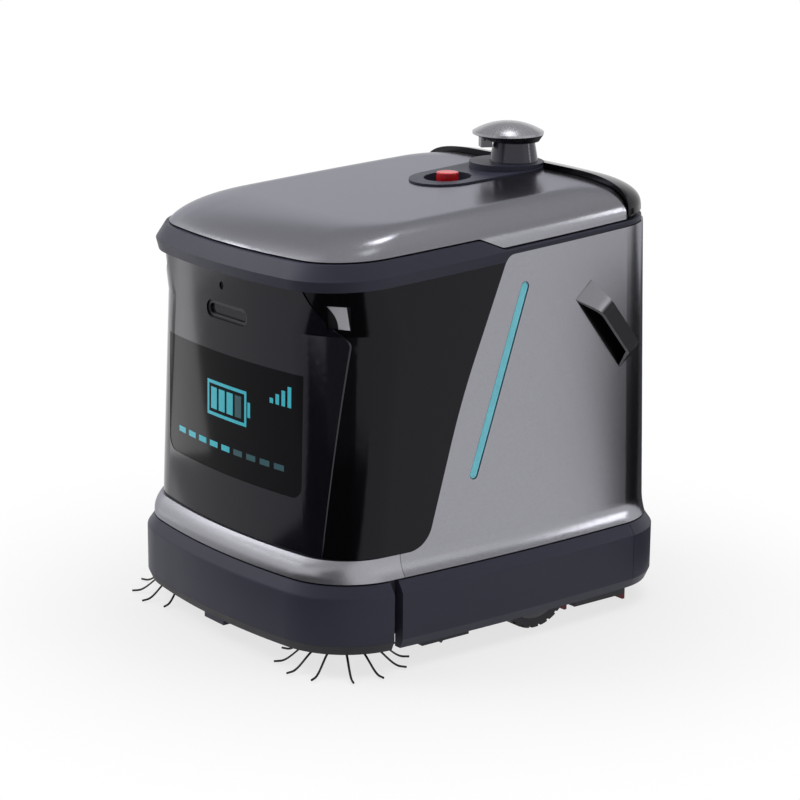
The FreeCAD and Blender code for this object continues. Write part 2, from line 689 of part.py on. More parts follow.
def body_form(depth):
    """Outer form of the body drawn in by depth: a flared foot under a tapering wall with a waist at its front
    corners, which swell again under the collar."""
    sections = []
    for z, front_round in ((FLARE_TOP, BODY_FOOT_ROUND), (BODY_NECK_Z, BODY_NECK_ROUND),
                           (BODY_HEAD_Z, BODY_HEAD_ROUND), (BODY_FORM_TOP, BODY_HEAD_ROUND)):
        sections.append(plan_wire(z, front_inset(z) + depth, side_inset(z) + depth, rear_inset(z) + depth, None,
                                  front_round))
    return flare_form(depth, BODY_FRONT_INSET).fuse(Part.makeLoft(sections, True, True))


def body_skin(outer, inner):
    return body_form(outer).cut(body_form(inner))


def slant_corners(shift):
    """The slanted seam between black front and silver side, moved forward by shift."""
    return [(SLANT_FOOT_Y - shift, FLARE_TOP + shift, SLANT_FOOT_ROUND),
            (SLANT_MID_Y - shift, SLANT_MID_Z, SLANT_MID_ROUND)]


def side_region(shift, x_low, x_high):
    """Side view of a silver side panel, grown by shift, carried along X."""
    corners = [(BAND_SEAM_Y - shift, 0, 0), (BAND_SEAM_Y - shift, FLARE_TOP + shift, 0)]
    corners += slant_corners(shift)
    corners += [(SLANT_TOP_Y - shift, top_line(SLANT_TOP_Y, BODY_TOP) + shift, SLANT_TOP_ROUND),
                (BEYOND, top_line(BEYOND, BODY_TOP) + shift, 0), (BEYOND, 0, 0)]
    return side_slab(corners, x_low, x_high)


def front_outline(shift):
    """Front view of the display panel, grown by shift, carried back past the front corners."""
    foot = FRONT_PANEL_FOOT_WIDTH + shift
    edge = FRONT_PANEL_HALF_WIDTH + shift
    chamfer = FRONT_CHAMFER_X + shift
    bottom = FLARE_TOP + SEAM
    shoulder = FRONT_CHAMFER_Z + shift
    corners = [(-foot, bottom, 0), (foot, bottom, 0), (edge, shoulder, FRONT_PANEL_ROUND), (chamfer, BODY_TOP, 0),
               (-chamfer, BODY_TOP, 0), (-edge, shoulder, FRONT_PANEL_ROUND)]
    return front_slab(corners, -BEYOND, FRONT_PIECE_BACK_Y)


def under_collar():
    """Everything under the collar's sloping lower edge, in front of the slanted seams."""
    corners = [(-BEYOND, FLARE_TOP + SEAM, 0)] + slant_corners(SEAM)
    foot = top_line(SLANT_TOP_Y, BODY_TOP)
    edge = top_line(SLANT_TOP_Y, COLLAR_BOTTOM)
    top_y = SLANT_TOP_Y - (SLANT_TOP_Y - SLANT_MID_Y) * (foot - edge) / (foot - SLANT_MID_Z)
    corners += [(top_y - SEAM, top_line(top_y, COLLAR_BOTTOM) - SEAM, 0),
                (-BEYOND, top_line(-BEYOND, COLLAR_BOTTOM) - SEAM, 0)]
    return side_slab(corners, -BEYOND, BEYOND)


def lid_form(depth):
    """Outer form of the lid drawn in by depth: an upright edge under a quarter-ellipse shoulder."""
    edge = LID_INSET + depth
    shoulder = []
    for step in range(LID_STEPS):
        angle = math.pi / 2 * step / (LID_STEPS - 1)
        drawn = 1 - math.cos(angle)
        front = edge + (LID_FRONT_SHOULDER_WIDTH - depth) * drawn
        side = edge + (LID_SHOULDER_WIDTH - depth) * drawn
        rear = edge + (LID_REAR_SHOULDER_WIDTH - depth) * drawn
        rise = (LID_TOP - depth - LID_SHOULDER_START) * math.sin(angle)
        shoulder.append(plan_wire(LID_SHOULDER_START + rise, front, side, rear, None,
                                  COLLAR_ROUND + LID_FRONT_ROUND * drawn, LID_REAR_ROUND * drawn))
    skirt = prism(LID_EDGE_REAR - PARTING_GAP, LID_SHOULDER_START, edge, edge, edge, COLLAR_ROUND)
    return tilted(skirt.fuse(Part.makeLoft(shoulder, True, False)))


def lid_step(drop):
    """Everything under the lid's stepped lower edge, lowered by drop, carried across the robot."""
    front = LID_EDGE_FRONT - drop
    rear = LID_EDGE_REAR - drop
    corners = [(-BEYOND, 0, 0), (-BEYOND, front, 0), (LID_STEP_FRONT_Y, front, LID_STEP_ROUND),
               (LID_STEP_REAR_Y, rear, LID_STEP_ROUND), (BEYOND, rear, 0), (BEYOND, 0, 0)]
    return tilted(side_slab(corners, -BEYOND, BEYOND))


# Skirt and bumper

def bumper_wall():
    """The front stretch of the skirt's wall, hollowed for the bumper's travel."""
    shell = skirt_form().cut(prism(0, BEYOND, BUMPER_WALL, BUMPER_SIDE_WALL, BUMPER_SIDE_WALL))
    return shell.common(block(-BEYOND, BEYOND, -BEYOND, BUMPER_END_Y, 0, BEYOND))


def bumper_tab(margin):
    """The low tab in the middle of the bumper, grown by a margin."""
    front = -HALF_LENGTH + LIP_INSET + SEAM
    half = TAB_HALF_WIDTH + margin
    return block(-half, half, front - margin, front + TAB_DEPTH + margin, TAB_BOTTOM, SKIRT_BOTTOM)


def front_bumper():
    """Wrap-round bumper with a rounded shoulder and a low tab in its middle."""
    shell = bumper_wall().common(block(-BEYOND, BEYOND, -BEYOND, BEYOND, SKIRT_BOTTOM, BEYOND))
    return shell.makeFillet(BUMPER_ROUND, shoulder_edges(shell)).fuse(bumper_tab(0))


def shoulder_edges(shell):
    """Outer edges where the bumper's upright face meets its sloped top."""
    found = []
    for edge in shell.Edges:
        box = edge.BoundBox
        if max(abs(box.ZMin - SKIRT_FACE_TOP), abs(box.ZMax - SKIRT_FACE_TOP)) < SEAT:
            found.append(edge)
    return found


def bumper_lip():
    """Rubber lip under the bumper, cut away for the tab in the middle."""
    lip = bumper_wall().common(block(-BEYOND, BEYOND, -BEYOND, BEYOND, 0, SKIRT_BOTTOM - SEAT))
    return lip.cut(bumper_tab(SEAT))


def bumper_pin_front():
    return -HALF_LENGTH + BUMPER_WALL


def bumper_guide_pins():
    """Steel pins behind the bumper that slide in the base tray's bosses."""
    outer_x = GUIDE_PIN_X + GUIDE_PIN_RADIUS
    bow = FRONT_BOW - BUMPER_WALL
    start = bumper_pin_front() + bow - math.sqrt(bow ** 2 - outer_x ** 2)
    return both_sides(lengthwise(GUIDE_PIN_X, start, bumper_pin_front() + GUIDE_PIN_LENGTH, GUIDE_PIN_Z,
                                 GUIDE_PIN_RADIUS))


def skirt_rail():
    shell = skirt_form().cut(prism(0, BEYOND, SKIRT_WALL, SKIRT_WALL, SKIRT_WALL))
    return shell


def side_skirts():
    return both_sides(skirt_rail().common(block(0, BEYOND, SIDE_SKIRT_FRONT_Y, SIDE_SKIRT_REAR_Y, 0, BEYOND)))


def contact_pocket(margin):
    """The seats of the two charging contacts in the rear skirt."""
    half = CONTACT_WIDTH / 2 + margin
    rise = CONTACT_HEIGHT / 2 + margin
    return both_sides(block(CONTACT_X - half, CONTACT_X + half, HALF_LENGTH - CONTACT_DEPTH - margin,
                            HALF_LENGTH, CONTACT_Z - rise, CONTACT_Z + rise))


def rear_skirt():
    rail = skirt_rail().common(block(-BEYOND, BEYOND, SIDE_SKIRT_REAR_Y + SEAM, BEYOND, 0, BEYOND))
    return rail.cut(contact_pocket(SEAT))


# Base tray and what stands on it

def base_plan(z_low, z_high, depth):
    return prism(z_low, z_high, BASE_FRONT_INSET + depth, BASE_SIDE_INSET + depth, BASE_SIDE_INSET + depth)


def upstand():
    """Rim on the tray that the body panels seat against."""
    foot = PANEL_WALL + 2 * SEAT
    front = front_inset(UPSTAND_TOP) + foot
    side = side_inset(UPSTAND_TOP) + foot
    rear = rear_inset(UPSTAND_TOP) + foot
    outer = prism(DECK_TOP, UPSTAND_TOP, front, side, rear)
    inner = prism(DECK_TOP, UPSTAND_TOP, front + BASE_WALL, side + BASE_WALL, rear + BASE_WALL)
    return outer.cut(inner)


def wheel_arch(margin, z_low, z_high):
    return block(WHEEL_INNER_X - ARCH_MARGIN - margin, WHEEL_OUTER_X + ARCH_OUTER_MARGIN + margin,
                 WHEEL_Y - WHEEL_RADIUS - ARCH_MARGIN - margin, WHEEL_Y + WHEEL_RADIUS + ARCH_MARGIN + margin,
                 z_low, z_high)


def base_tray():
    """Moulded tray: deck, downward rim, wheel arches, bumper bosses and the bores of what hangs below."""
    deck = base_plan(DECK_BOTTOM, DECK_TOP, 0)
    rim = base_plan(BASE_WALL_BOTTOM, DECK_BOTTOM, 0).cut(base_plan(BASE_WALL_BOTTOM, DECK_BOTTOM, BASE_WALL))
    tray = deck.fuse(rim).fuse(upstand())
    arch = wheel_arch(ARCH_WALL, DECK_BOTTOM, ARCH_TOP)
    tray = tray.fuse(arch).fuse(mirrored(arch))
    well = wheel_arch(0, 0, ARCH_TOP - ARCH_WALL)
    tray = tray.cut(well.fuse(mirrored(well)))
    boss_front = -HALF_LENGTH + BASE_FRONT_INSET + GUIDE_PIN_X ** 2 / (2 * FRONT_BOW)
    boss = lengthwise(GUIDE_PIN_X, boss_front + BASE_WALL / 2, bumper_pin_front() + GUIDE_PIN_LENGTH
                      + BUMPER_TRAVEL, GUIDE_PIN_Z, GUIDE_BOSS_RADIUS)
    tray = tray.fuse(boss).fuse(mirrored(boss))
    bore = lengthwise(GUIDE_PIN_X, -HALF_LENGTH, bumper_pin_front() + GUIDE_PIN_LENGTH + BUMPER_TRAVEL,
                      GUIDE_PIN_Z, GUIDE_PIN_RADIUS + RUNNING)
    tray = tray.cut(bore.fuse(mirrored(bore)))
    return tray.cut(upright(0, CASTER_Y, 0, DECK_TOP, CASTER_STEM + RUNNING))


def battery_pack():
    half = BATTERY_WIDTH / 2
    reach = BATTERY_LENGTH / 2
    pack = block(-half, half, BATTERY_Y - reach, BATTERY_Y + reach, DECK_TOP, DECK_TOP + BATTERY_HEIGHT)
    return pack.makeFillet(BATTERY_ROUND, [edge for edge in pack.Edges if edge.BoundBox.ZMax > DECK_TOP + 1])


def suction_fan():
    """Fan housing with its intake duct and an outlet to the side."""
    drum = upright(0, FAN_Y, DECK_TOP, DECK_TOP + FAN_HEIGHT, FAN_RADIUS)
    duct = upright(0, FAN_Y, DECK_TOP + FAN_HEIGHT, BAY_FLOOR, FAN_DUCT_RADIUS)
    outlet = block(0, FAN_RADIUS + FAN_DUCT_RADIUS, FAN_Y, FAN_Y + FAN_RADIUS, DECK_TOP, DECK_TOP + FAN_HEIGHT)
    return drum.fuse(duct).fuse(outlet)


def control_box():
    """Electronics box with cooling fins along its top."""
    half = CONTROL_WIDTH / 2
    box = block(-half, half, CONTROL_Y - CONTROL_LENGTH / 2, CONTROL_Y + CONTROL_LENGTH / 2, DECK_TOP,
                DECK_TOP + CONTROL_HEIGHT)
    for step in range(CONTROL_GROOVES):
        y = CONTROL_Y + CONTROL_GROOVE_PITCH * (step - (CONTROL_GROOVES - 1) / 2) - CONTROL_GROOVE_WIDTH / 2
        box = box.cut(block(-half, half, y, y + CONTROL_GROOVE_WIDTH,
                            DECK_TOP + CONTROL_HEIGHT - CONTROL_GROOVE_DEPTH, BEYOND))
    return box


# Body panels

def side_panel():
    """Silver side with its flared foot, slanted front edge, light slot and handle opening."""
    skin = body_skin(0, PANEL_WALL).common(side_region(0, 0, BEYOND))
    behind = block(-BEYOND, REAR_PANEL_HALF_WIDTH, 0, BEYOND, 0, BEYOND)
    return skin.cut(behind).cut(strip_region(STRIP_MARGIN)).cut(handle_cup_form(SEAT))


def rear_panel():
    half = REAR_PANEL_HALF_WIDTH - SEAM
    skin = body_skin(0, PANEL_WALL).common(block(-half, half, 0, BEYOND, 0, BEYOND))
    skin = skin.common(side_region(0, -half, half))
    return skin.cut(lengthwise(BUTTON_X, 0, BEYOND, BUTTON_Z, BUTTON_RADIUS + RUNNING))


def front_band():
    """Bright sloped ledge round the front, over the bumper, that stands out under the display panel."""
    band = flare_form(0, BAND_TOP_FRONT_INSET).cut(body_form(PANEL_WALL))
    return band.common(block(-BEYOND, BEYOND, -BEYOND, BAND_SEAM_Y - SEAM, 0, FLARE_TOP))


def front_shell():
    """Black wrap round the front corners, with a thin backing behind the display panel."""
    wrap = body_skin(0, PANEL_WALL).cut(front_outline(SEAM))
    backing = body_skin(PANEL_WALL, PANEL_WALL + BACKING_WALL).common(front_outline(BACKING_LAP))
    backing = backing.cut(prism(0, UPSTAND_TOP + SEAM, 0, 0, 0))
    shell = wrap.fuse(backing).common(under_collar()).cut(camera_openings())
    pocket = corner_pocket(SEAT)
    return shell.cut(pocket).cut(mirrored(pocket))


def camera_openings():
    """Holes for the slot camera and the small round camera."""
    slot = front_slab(camera_slot(SEAT), -BEYOND, 0)
    return slot.fuse(lengthwise(FRONT_LENS_X, -BEYOND, 0, FRONT_LENS_Z, FRONT_LENS_RADIUS + SEAT))


def screen_region(margin):
    half = SCREEN_HALF_WIDTH + margin
    corners = [(-half, SCREEN_BOTTOM - margin, SCREEN_ROUND), (half, SCREEN_BOTTOM - margin, SCREEN_ROUND),
               (half, SCREEN_TOP + margin, SEAM), (-half, SCREEN_TOP + margin, SEAM)]
    return front_slab(corners, -BEYOND, 0)


def camera_slot(margin):
    corners = stadium(0, CAMERA_SLOT_Z, CAMERA_SLOT_LENGTH + 2 * margin, CAMERA_SLOT_HEIGHT + 2 * margin)
    return corners


def front_panel():
    """Glossy display panel, a little proud of the black wrap."""
    panel = body_skin(-FRONT_PANEL_PROUD, PANEL_WALL - SEAT).common(front_outline(0))
    panel = panel.common(under_collar())
    screen_seat = screen_region(SEAT).common(body_skin(-2 * FRONT_PANEL_PROUD, SCREEN_DEPTH + SEAT))
    pocket = corner_pocket(SEAT)
    return panel.cut(screen_seat).cut(camera_openings()).cut(pocket).cut(mirrored(pocket))


def display_screen():
    face = body_skin(-FRONT_PANEL_PROUD + SCREEN_SINK, SCREEN_DEPTH)
    return face.common(screen_region(0))


def camera_front():
    return -HALF_LENGTH + BODY_FRONT_INSET + BODY_TAPER


def depth_camera():
    """Slot-shaped camera housing with a sunk pocket."""
    front = camera_front()
    body = front_slab(camera_slot(0), front, front + CAMERA_DEPTH)
    return body.cut(front_slab(camera_slot(-CAMERA_RIM), front, front + CAMERA_WINDOW_SINK))


def camera_window():
    back = camera_front() + CAMERA_WINDOW_SINK
    return front_slab(camera_slot(-CAMERA_RIM - SEAT), back - CAMERA_WINDOW_THICKNESS, back)


def front_camera():
    """Small round camera over the slot, with a domed rim."""
    front = camera_front()
    body = lengthwise(FRONT_LENS_X, front - SEAM, front + CAMERA_DEPTH, FRONT_LENS_Z, FRONT_LENS_RADIUS)
    return body.cut(lengthwise(FRONT_LENS_X, front - SEAM, front, FRONT_LENS_Z, FRONT_LENS_RADIUS / 2))


def corner_box(width, z_low, z_high, reach_low, reach_high):
    """Box on the front corner's slanting line, between two reaches from the line's start."""
    box = block(-width / 2, width / 2, -reach_high, -reach_low, z_low, z_high)
    box.rotate(Vector(0, 0, 0), Vector(0, 0, 1), CORNER_SENSOR_ANGLE)
    box.translate(Vector(CORNER_LINE_X, CORNER_LINE_Y, 0))
    return box


def corner_reach():
    """How far the body's front corner lies from the start of the slanting line."""
    start = Vector(CORNER_LINE_X, CORNER_LINE_Y, 0)
    angle = math.radians(CORNER_SENSOR_ANGLE)
    line = Part.makeLine(start, start + Vector(math.sin(angle), -math.cos(angle), 0) * BEYOND)
    z = CORNER_SENSOR_TOP
    plan = plan_wire(0, front_inset(z), side_inset(z), rear_inset(z), None, BODY_NECK_ROUND)
    return line.common(Part.Face(plan)).Length


def corner_pocket(margin):
    reach = corner_reach()
    return corner_box(CORNER_SENSOR_WIDTH + 2 * margin, CORNER_SENSOR_BOTTOM - margin,
                      CORNER_SENSOR_TOP + margin, reach - CORNER_SENSOR_DEPTH - margin, BEYOND)


def corner_sensors():
    """Sensor block sunk in each front corner, with a faceted window."""
    seat = corner_pocket(0).common(body_form(CORNER_SENSOR_SINK))
    middle = (CORNER_SENSOR_BOTTOM + CORNER_SENSOR_TOP) / 2
    reach = corner_reach()
    lens = corner_box(CORNER_LENS_WIDTH, middle - CORNER_LENS_HEIGHT / 2, middle + CORNER_LENS_HEIGHT / 2,
                      reach - CORNER_SENSOR_DEPTH, reach - SEAM)
    front_edges = sorted(lens.Edges, key=lambda edge: edge.CenterOfMass.y - edge.CenterOfMass.x)[:4]
    lens = lens.makeChamfer(CORNER_SENSOR_SINK - SEAM, front_edges)
    return both_sides(seat.fuse(lens))


def strip_region(margin):
    """Slanted slot outline of the light strip, grown by margin, carried out of the right side."""
    (y_top, z_top), (y_low, z_low) = STRIP_TOP, STRIP_BOTTOM
    length = math.hypot(y_top - y_low, z_top - z_low) + 2 * margin
    slot = side_slab(stadium(0, 0, length, STRIP_WIDTH + 2 * margin), HALF_WIDTH / 2, BEYOND)
    lean = math.degrees(math.atan2(z_top - z_low, y_top - y_low))
    slot.rotate(Vector(0, 0, 0), Vector(1, 0, 0), lean)
    slot.translate(Vector(0, (y_top + y_low) / 2, (z_top + z_low) / 2))
    return slot


def light_strips():
    """Light guide in each side panel's slot, held by a flange behind it."""
    bar = body_skin(STRIP_SINK, PANEL_WALL + SEAT).common(strip_region(0))
    flange = body_skin(PANEL_WALL + SEAT, PANEL_WALL + SEAT + STRIP_SINK * 2).common(strip_region(STRIP_FLANGE))
    return both_sides(bar.fuse(flange))


# Grab handles

def handle_frame(shape):
    """Lay a shape made along +Y (down the handle), +Z (towards its mouth), +X (outwards) on the side."""
    (y_top, z_top), (y_low, z_low) = HANDLE_UPPER, HANDLE_LOWER
    lean = math.degrees(math.atan2(z_low - z_top, y_low - y_top))
    placed = shape.copy()
    placed.rotate(Vector(0, 0, 0), Vector(1, 0, 0), lean + 180)
    placed.translate(Vector(HALF_WIDTH - BODY_SIDE_INSET - BODY_TAPER - HANDLE_SUNK, y_low, z_low))
    return placed


def handle_length():
    return math.hypot(HANDLE_UPPER[0] - HANDLE_LOWER[0], HANDLE_UPPER[1] - HANDLE_LOWER[1])


def hood_form(drawn, mouth):
    """Tapered hood from the panel's face to its flat outer face, with a round upper end, drawn in by a wall
    and open past its mouth."""
    length = handle_length()

    def level(x, low, high, back, front):
        corners = [Vector(x, low, back), Vector(x, high, back), Vector(x, high, front), Vector(x, low, front)]
        return Part.makePolygon(corners + corners[:1])

    base = level(0, drawn, length - drawn, drawn, HANDLE_REACH + mouth)
    high = length - HANDLE_HIGH_SLOPE - drawn
    crest = level(HANDLE_PROUD - drawn, HANDLE_LOW_SLOPE + drawn, high, HANDLE_BACK_SLOPE + drawn,
                  HANDLE_REACH - HANDLE_MOUTH_SLOPE + mouth)
    hood = Part.makeLoft([base, crest], True, True)
    upper_edge = [edge for edge in hood.Edges
                  if min(vertex.Y for vertex in edge.Vertexes) > high - SEAT
                  and min(vertex.X for vertex in edge.Vertexes) > HANDLE_PROUD / 2]
    return hood.makeFillet(HANDLE_ROUND - drawn, upper_edge)


def handle_cup_form(margin):
    """The opening that the handle fills in the side panel."""
    box = block(-HANDLE_CUP_DEPTH * 2, HANDLE_PROUD * 2, -margin, handle_length() + margin, -margin,
                HANDLE_REACH + margin)
    return handle_frame(box)


def grab_handle():
    """Tapered scoop over a finger cup that is sunk in the panel and opens forwards."""
    length = handle_length()
    wall = HANDLE_WALL
    cup = block(-HANDLE_CUP_DEPTH, 0, 0, length, 0, HANDLE_REACH)
    inner = block(-HANDLE_CUP_DEPTH + wall / 2, 0, wall, length - wall, wall, HANDLE_REACH - wall)
    return handle_frame(cup.fuse(hood_form(0, 0)).cut(inner).cut(hood_form(wall, HANDLE_REACH)))


# Collar, tank bay and tanks

def collar():
    """Dark rim round the top: a visor over the front that runs back as a narrow strip."""
    top_inset = LID_INSET + SEAM
    sections = [plan_wire(COLLAR_BOTTOM, COLLAR_BOTTOM_FRONT_INSET, COLLAR_BOTTOM_SIDE_INSET, COLLAR_BACK_INSET,
                          COLLAR_BACK_INSET, COLLAR_ROUND),
                plan_wire(COLLAR_WIDEST, COLLAR_WIDE_FRONT_INSET, COLLAR_WIDE_SIDE_INSET, COLLAR_BACK_INSET,
                          COLLAR_BACK_INSET, COLLAR_ROUND),
                plan_wire(LID_EDGE_FRONT, top_inset, top_inset, top_inset, None, COLLAR_ROUND)]
    ring = tilted(Part.makeLoft(sections, True, True)).common(lid_step(PARTING_GAP))
    ring = ring.cut(prism(0, BEYOND, COLLAR_INNER_FRONT_INSET, COLLAR_INNER_SIDE_INSET,
                          COLLAR_INNER_SIDE_INSET))
    return ring.cut(side_region(SEAM, -BEYOND, BEYOND))


def bay_plan(z_low, z_high, depth):
    return prism(z_low, z_high, COLLAR_INNER_FRONT_INSET + depth, COLLAR_INNER_SIDE_INSET + depth,
                 COLLAR_INNER_SIDE_INSET + depth)


def tank_bay():
    """Open tub under the lid."""
    tub = bay_plan(BAY_FLOOR, BAY_RIM, SEAT)
    return tub.cut(bay_plan(BAY_FLOOR + BAY_WALL, BEYOND, SEAT + BAY_WALL))


def tank_block(y_low, y_high, cap_x, cap_y):
    """Hollow tank that fills its share of the bay, with a filler neck, a sunk grip and a bar across it."""
    outer = SEAT + BAY_WALL + TANK_CLEARANCE
    floor = BAY_FLOOR + BAY_WALL
    body = bay_plan(floor, TANK_TOP, outer).common(block(-BEYOND, BEYOND, y_low, y_high, 0, BEYOND))
    grip_floor = TANK_TOP - TANK_GRIP_DEPTH
    inside = bay_plan(floor + TANK_WALL, grip_floor - TANK_WALL, outer + TANK_WALL)
    inside = inside.common(block(-BEYOND, BEYOND, y_low + TANK_WALL, y_high - TANK_WALL, 0, BEYOND))
    body = body.cut(inside.fuse(upright(cap_x, cap_y, grip_floor - 2 * TANK_WALL, TANK_TOP, TANK_NECK_RADIUS)))
    middle = (body.BoundBox.YMin + body.BoundBox.YMax) / 2
    half = TANK_GRIP_LENGTH / 2
    body = body.cut(block(-half, half, middle - TANK_GRIP_WIDTH, middle + TANK_GRIP_WIDTH, grip_floor, BEYOND))
    bar = TANK_GRIP_BAR / 2
    return body.fuse(block(-half, half, middle - bar, middle + bar, TANK_TOP - TANK_GRIP_BAR, TANK_TOP))


def clean_tank():
    return tank_block(-BEYOND, TANK_SPLIT_Y - TANK_CLEARANCE, TANK_CAP_X, CLEAN_CAP_Y)


def waste_tank():
    return tank_block(TANK_SPLIT_Y + TANK_CLEARANCE, BEYOND, -TANK_CAP_X, WASTE_CAP_Y)


def tank_caps():
    """Ribbed screw caps of both tanks."""
    caps = []
    half = TANK_CAP_RIB_LENGTH / 2
    for x, y in ((TANK_CAP_X, CLEAN_CAP_Y), (-TANK_CAP_X, WASTE_CAP_Y)):
        top = TANK_TOP + TANK_CAP_HEIGHT
        cap = upright(x, y, TANK_TOP, top, TANK_CAP_RADIUS)
        rib = block(x - half, x + half, y - TANK_CAP_RIB_WIDTH / 2, y + TANK_CAP_RIB_WIDTH / 2, top,
                    top + TANK_CAP_RIB_HEIGHT)
        caps.append(cap.fuse(rib))
    return Part.makeCompound(caps)


# Lid and its sensor pod

def teardrop(margin, z_low, z_high):
    """Plan of the sensor pod: a small front circle and a large rear one joined by their tangents."""
    front = BEZEL_FRONT_RADIUS + margin
    rear = BEZEL_REAR_RADIUS + margin
    lean = math.asin((front - rear) / (FLANGE_Y - ESTOP_Y))

    def on_circle(y, radius, angle):
        return Vector(radius * math.cos(angle), y + radius * math.sin(angle), z_low)

    start = on_circle(ESTOP_Y, front, lean)
    end = on_circle(FLANGE_Y, rear, lean)
    rear_arc = Part.Arc(end, Vector(0, FLANGE_Y + rear, z_low), Vector(-end.x, end.y, z_low))
    front_arc = Part.Arc(Vector(-start.x, start.y, z_low), Vector(0, ESTOP_Y - front, z_low), start)
    edges = [Part.makeLine(start, end), rear_arc.toShape(),
             Part.makeLine(Vector(-end.x, end.y, z_low), Vector(-start.x, start.y, z_low)), front_arc.toShape()]
    return Part.Face(Part.Wire(edges)).extrude(Vector(0, 0, z_high - z_low))


def behind(y):
    """Everything behind a cross plane."""
    return block(-BEYOND, BEYOND, y, BEYOND, 0, BEYOND)


def trim_form():
    """Outer form of the rear trim: the lid's, a little larger and raised."""
    raised = lid_form(-TRIM_PROUD)
    raised.translate(Vector(0, 0, TRIM_RISE))
    return raised


def bezel_cut():
    """The opening for the sensor pod's plinth, through lid and trim."""
    return tilted(teardrop(SEAT, BEZEL_BOTTOM, BEYOND))


def lid_cover():
    cover = lid_form(0).cut(lid_form(LID_WALL)).cut(lid_step(0))
    return cover.cut(behind(TRIM_FRONT_Y)).cut(bezel_cut())


def rear_trim():
    """Raised black cap over the lid's rear end, with a tongue under the silver cover."""
    cap = trim_form().cut(lid_form(2 * LID_WALL)).cut(lid_step(0)).common(behind(TRIM_FRONT_Y + TRIM_GROOVE))
    tongue = lid_form(LID_WALL + SEAT).cut(lid_form(2 * LID_WALL)).cut(lid_step(0))
    return cap.fuse(tongue.common(behind(TRIM_FRONT_Y - TRIM_TONGUE))).cut(bezel_cut())


def sensor_bezel():
    """Teardrop plinth let into the lid, with a round pocket for the stop button."""
    plinth = tilted(teardrop(0, BEZEL_BOTTOM, BEZEL_TOP))
    plinth = plinth.cut(upright(0, FLANGE_Y, FLANGE_BOTTOM, BEYOND, FLANGE_RADIUS + SEAT))
    plinth = plinth.cut(upright(0, ESTOP_Y, BEZEL_POCKET_FLOOR, BEYOND, BEZEL_POCKET_RADIUS))
    return plinth.cut(upright(0, ESTOP_Y, 0, BEYOND, ESTOP_STEM_RADIUS + RUNNING))


def lidar_base():
    """Flange of the scanner with the spindle that its rotor turns on."""
    flange = upright(0, FLANGE_Y, FLANGE_BOTTOM, LIDAR_FLANGE_TOP, FLANGE_RADIUS)
    spindle = upright(0, LIDAR_Y, LIDAR_FLANGE_TOP, LIDAR_FLANGE_TOP + ROTOR_HEIGHT, SPINDLE_RADIUS)
    return flange.fuse(spindle)


def lidar_window():
    """Tapered tube that the scanner looks through."""
    profile = [(STEM_FOOT_RADIUS, LIDAR_FLANGE_TOP), (STEM_TOP_RADIUS, STEM_TOP),
               (STEM_TOP_RADIUS - STEM_WALL, STEM_TOP), (STEM_FOOT_RADIUS - STEM_WALL, LIDAR_FLANGE_TOP)]
    return turned(profile, 0, LIDAR_Y)


def lidar_cap():
    """Mushroom cap: a cone under a thin rim and a shallow dome."""
    dome_rise = CAP_TOP - CAP_RIM_TOP
    dome_radius = (CAP_RADIUS ** 2 + dome_rise ** 2) / (2 * dome_rise)
    neck = Part.Wire(Part.makeCircle(CAP_NECK_RADIUS, Vector(0, LIDAR_Y, STEM_TOP)))
    rim = Part.Wire(Part.makeCircle(CAP_RADIUS, Vector(0, CAP_Y, CAP_RIM_BOTTOM)))
    cone = Part.makeLoft([neck, rim], True, True)
    cone = cone.fuse(upright(0, CAP_Y, CAP_RIM_BOTTOM, CAP_RIM_TOP, CAP_RADIUS))
    ball = Part.makeSphere(dome_radius, Vector(0, CAP_Y, CAP_TOP - dome_radius))
    return cone.fuse(ball.common(upright(0, CAP_Y, CAP_RIM_TOP, BEYOND, CAP_RADIUS)))


def lidar_rotor():
    """Spinning head with a flat cut for its beam."""
    low = LIDAR_FLANGE_TOP + SEAT
    high = LIDAR_FLANGE_TOP + ROTOR_HEIGHT
    head = upright(0, LIDAR_Y, low, high, ROTOR_RADIUS)
    head = head.cut(upright(0, LIDAR_Y, 0, BEYOND, SPINDLE_RADIUS + RUNNING))
    return head.cut(block(-BEYOND, BEYOND, -BEYOND, LIDAR_Y - ROTOR_FLAT, (low + high) / 2, BEYOND))


def sensor_block():
    """Small sensor tucked up under the cap's front edge."""
    high = STEM_TOP + SENSOR_BLOCK_RISE
    box = block(-SENSOR_BLOCK_WIDTH / 2, SENSOR_BLOCK_WIDTH / 2, -CAP_NECK_RADIUS - SENSOR_BLOCK_DEPTH,
                -STEM_TOP_RADIUS, high - SENSOR_BLOCK_HEIGHT, high)
    box = box.cut(upright(0, 0, 0, BEYOND, STEM_FOOT_RADIUS))
    box.rotate(Vector(0, 0, 0), Vector(0, 0, 1), -SENSOR_BLOCK_TURN)
    box.translate(Vector(0, LIDAR_Y, 0))
    return box.cut(lidar_cap())


def estop_button():
    """Mushroom button on a sliding stem."""
    head = upright(0, ESTOP_Y, ESTOP_HEAD_BOTTOM, ESTOP_TOP, ESTOP_RADIUS)
    top_edge = [edge for edge in head.Edges
                if edge.CenterOfMass.z > ESTOP_TOP - SEAT and len(edge.Vertexes) == 1]
    head = head.makeFillet(ESTOP_ROUND, top_edge)
    return head.fuse(upright(0, ESTOP_Y, ESTOP_STEM_BOTTOM, ESTOP_HEAD_BOTTOM, ESTOP_STEM_RADIUS))


# Lid hinges

def rear_face_y(x, inset):
    """Where the plan's rear bow lies at x, for an inset."""
    radius = REAR_BOW - inset
    return HALF_LENGTH - REAR_BOW + math.sqrt(radius ** 2 - x ** 2)


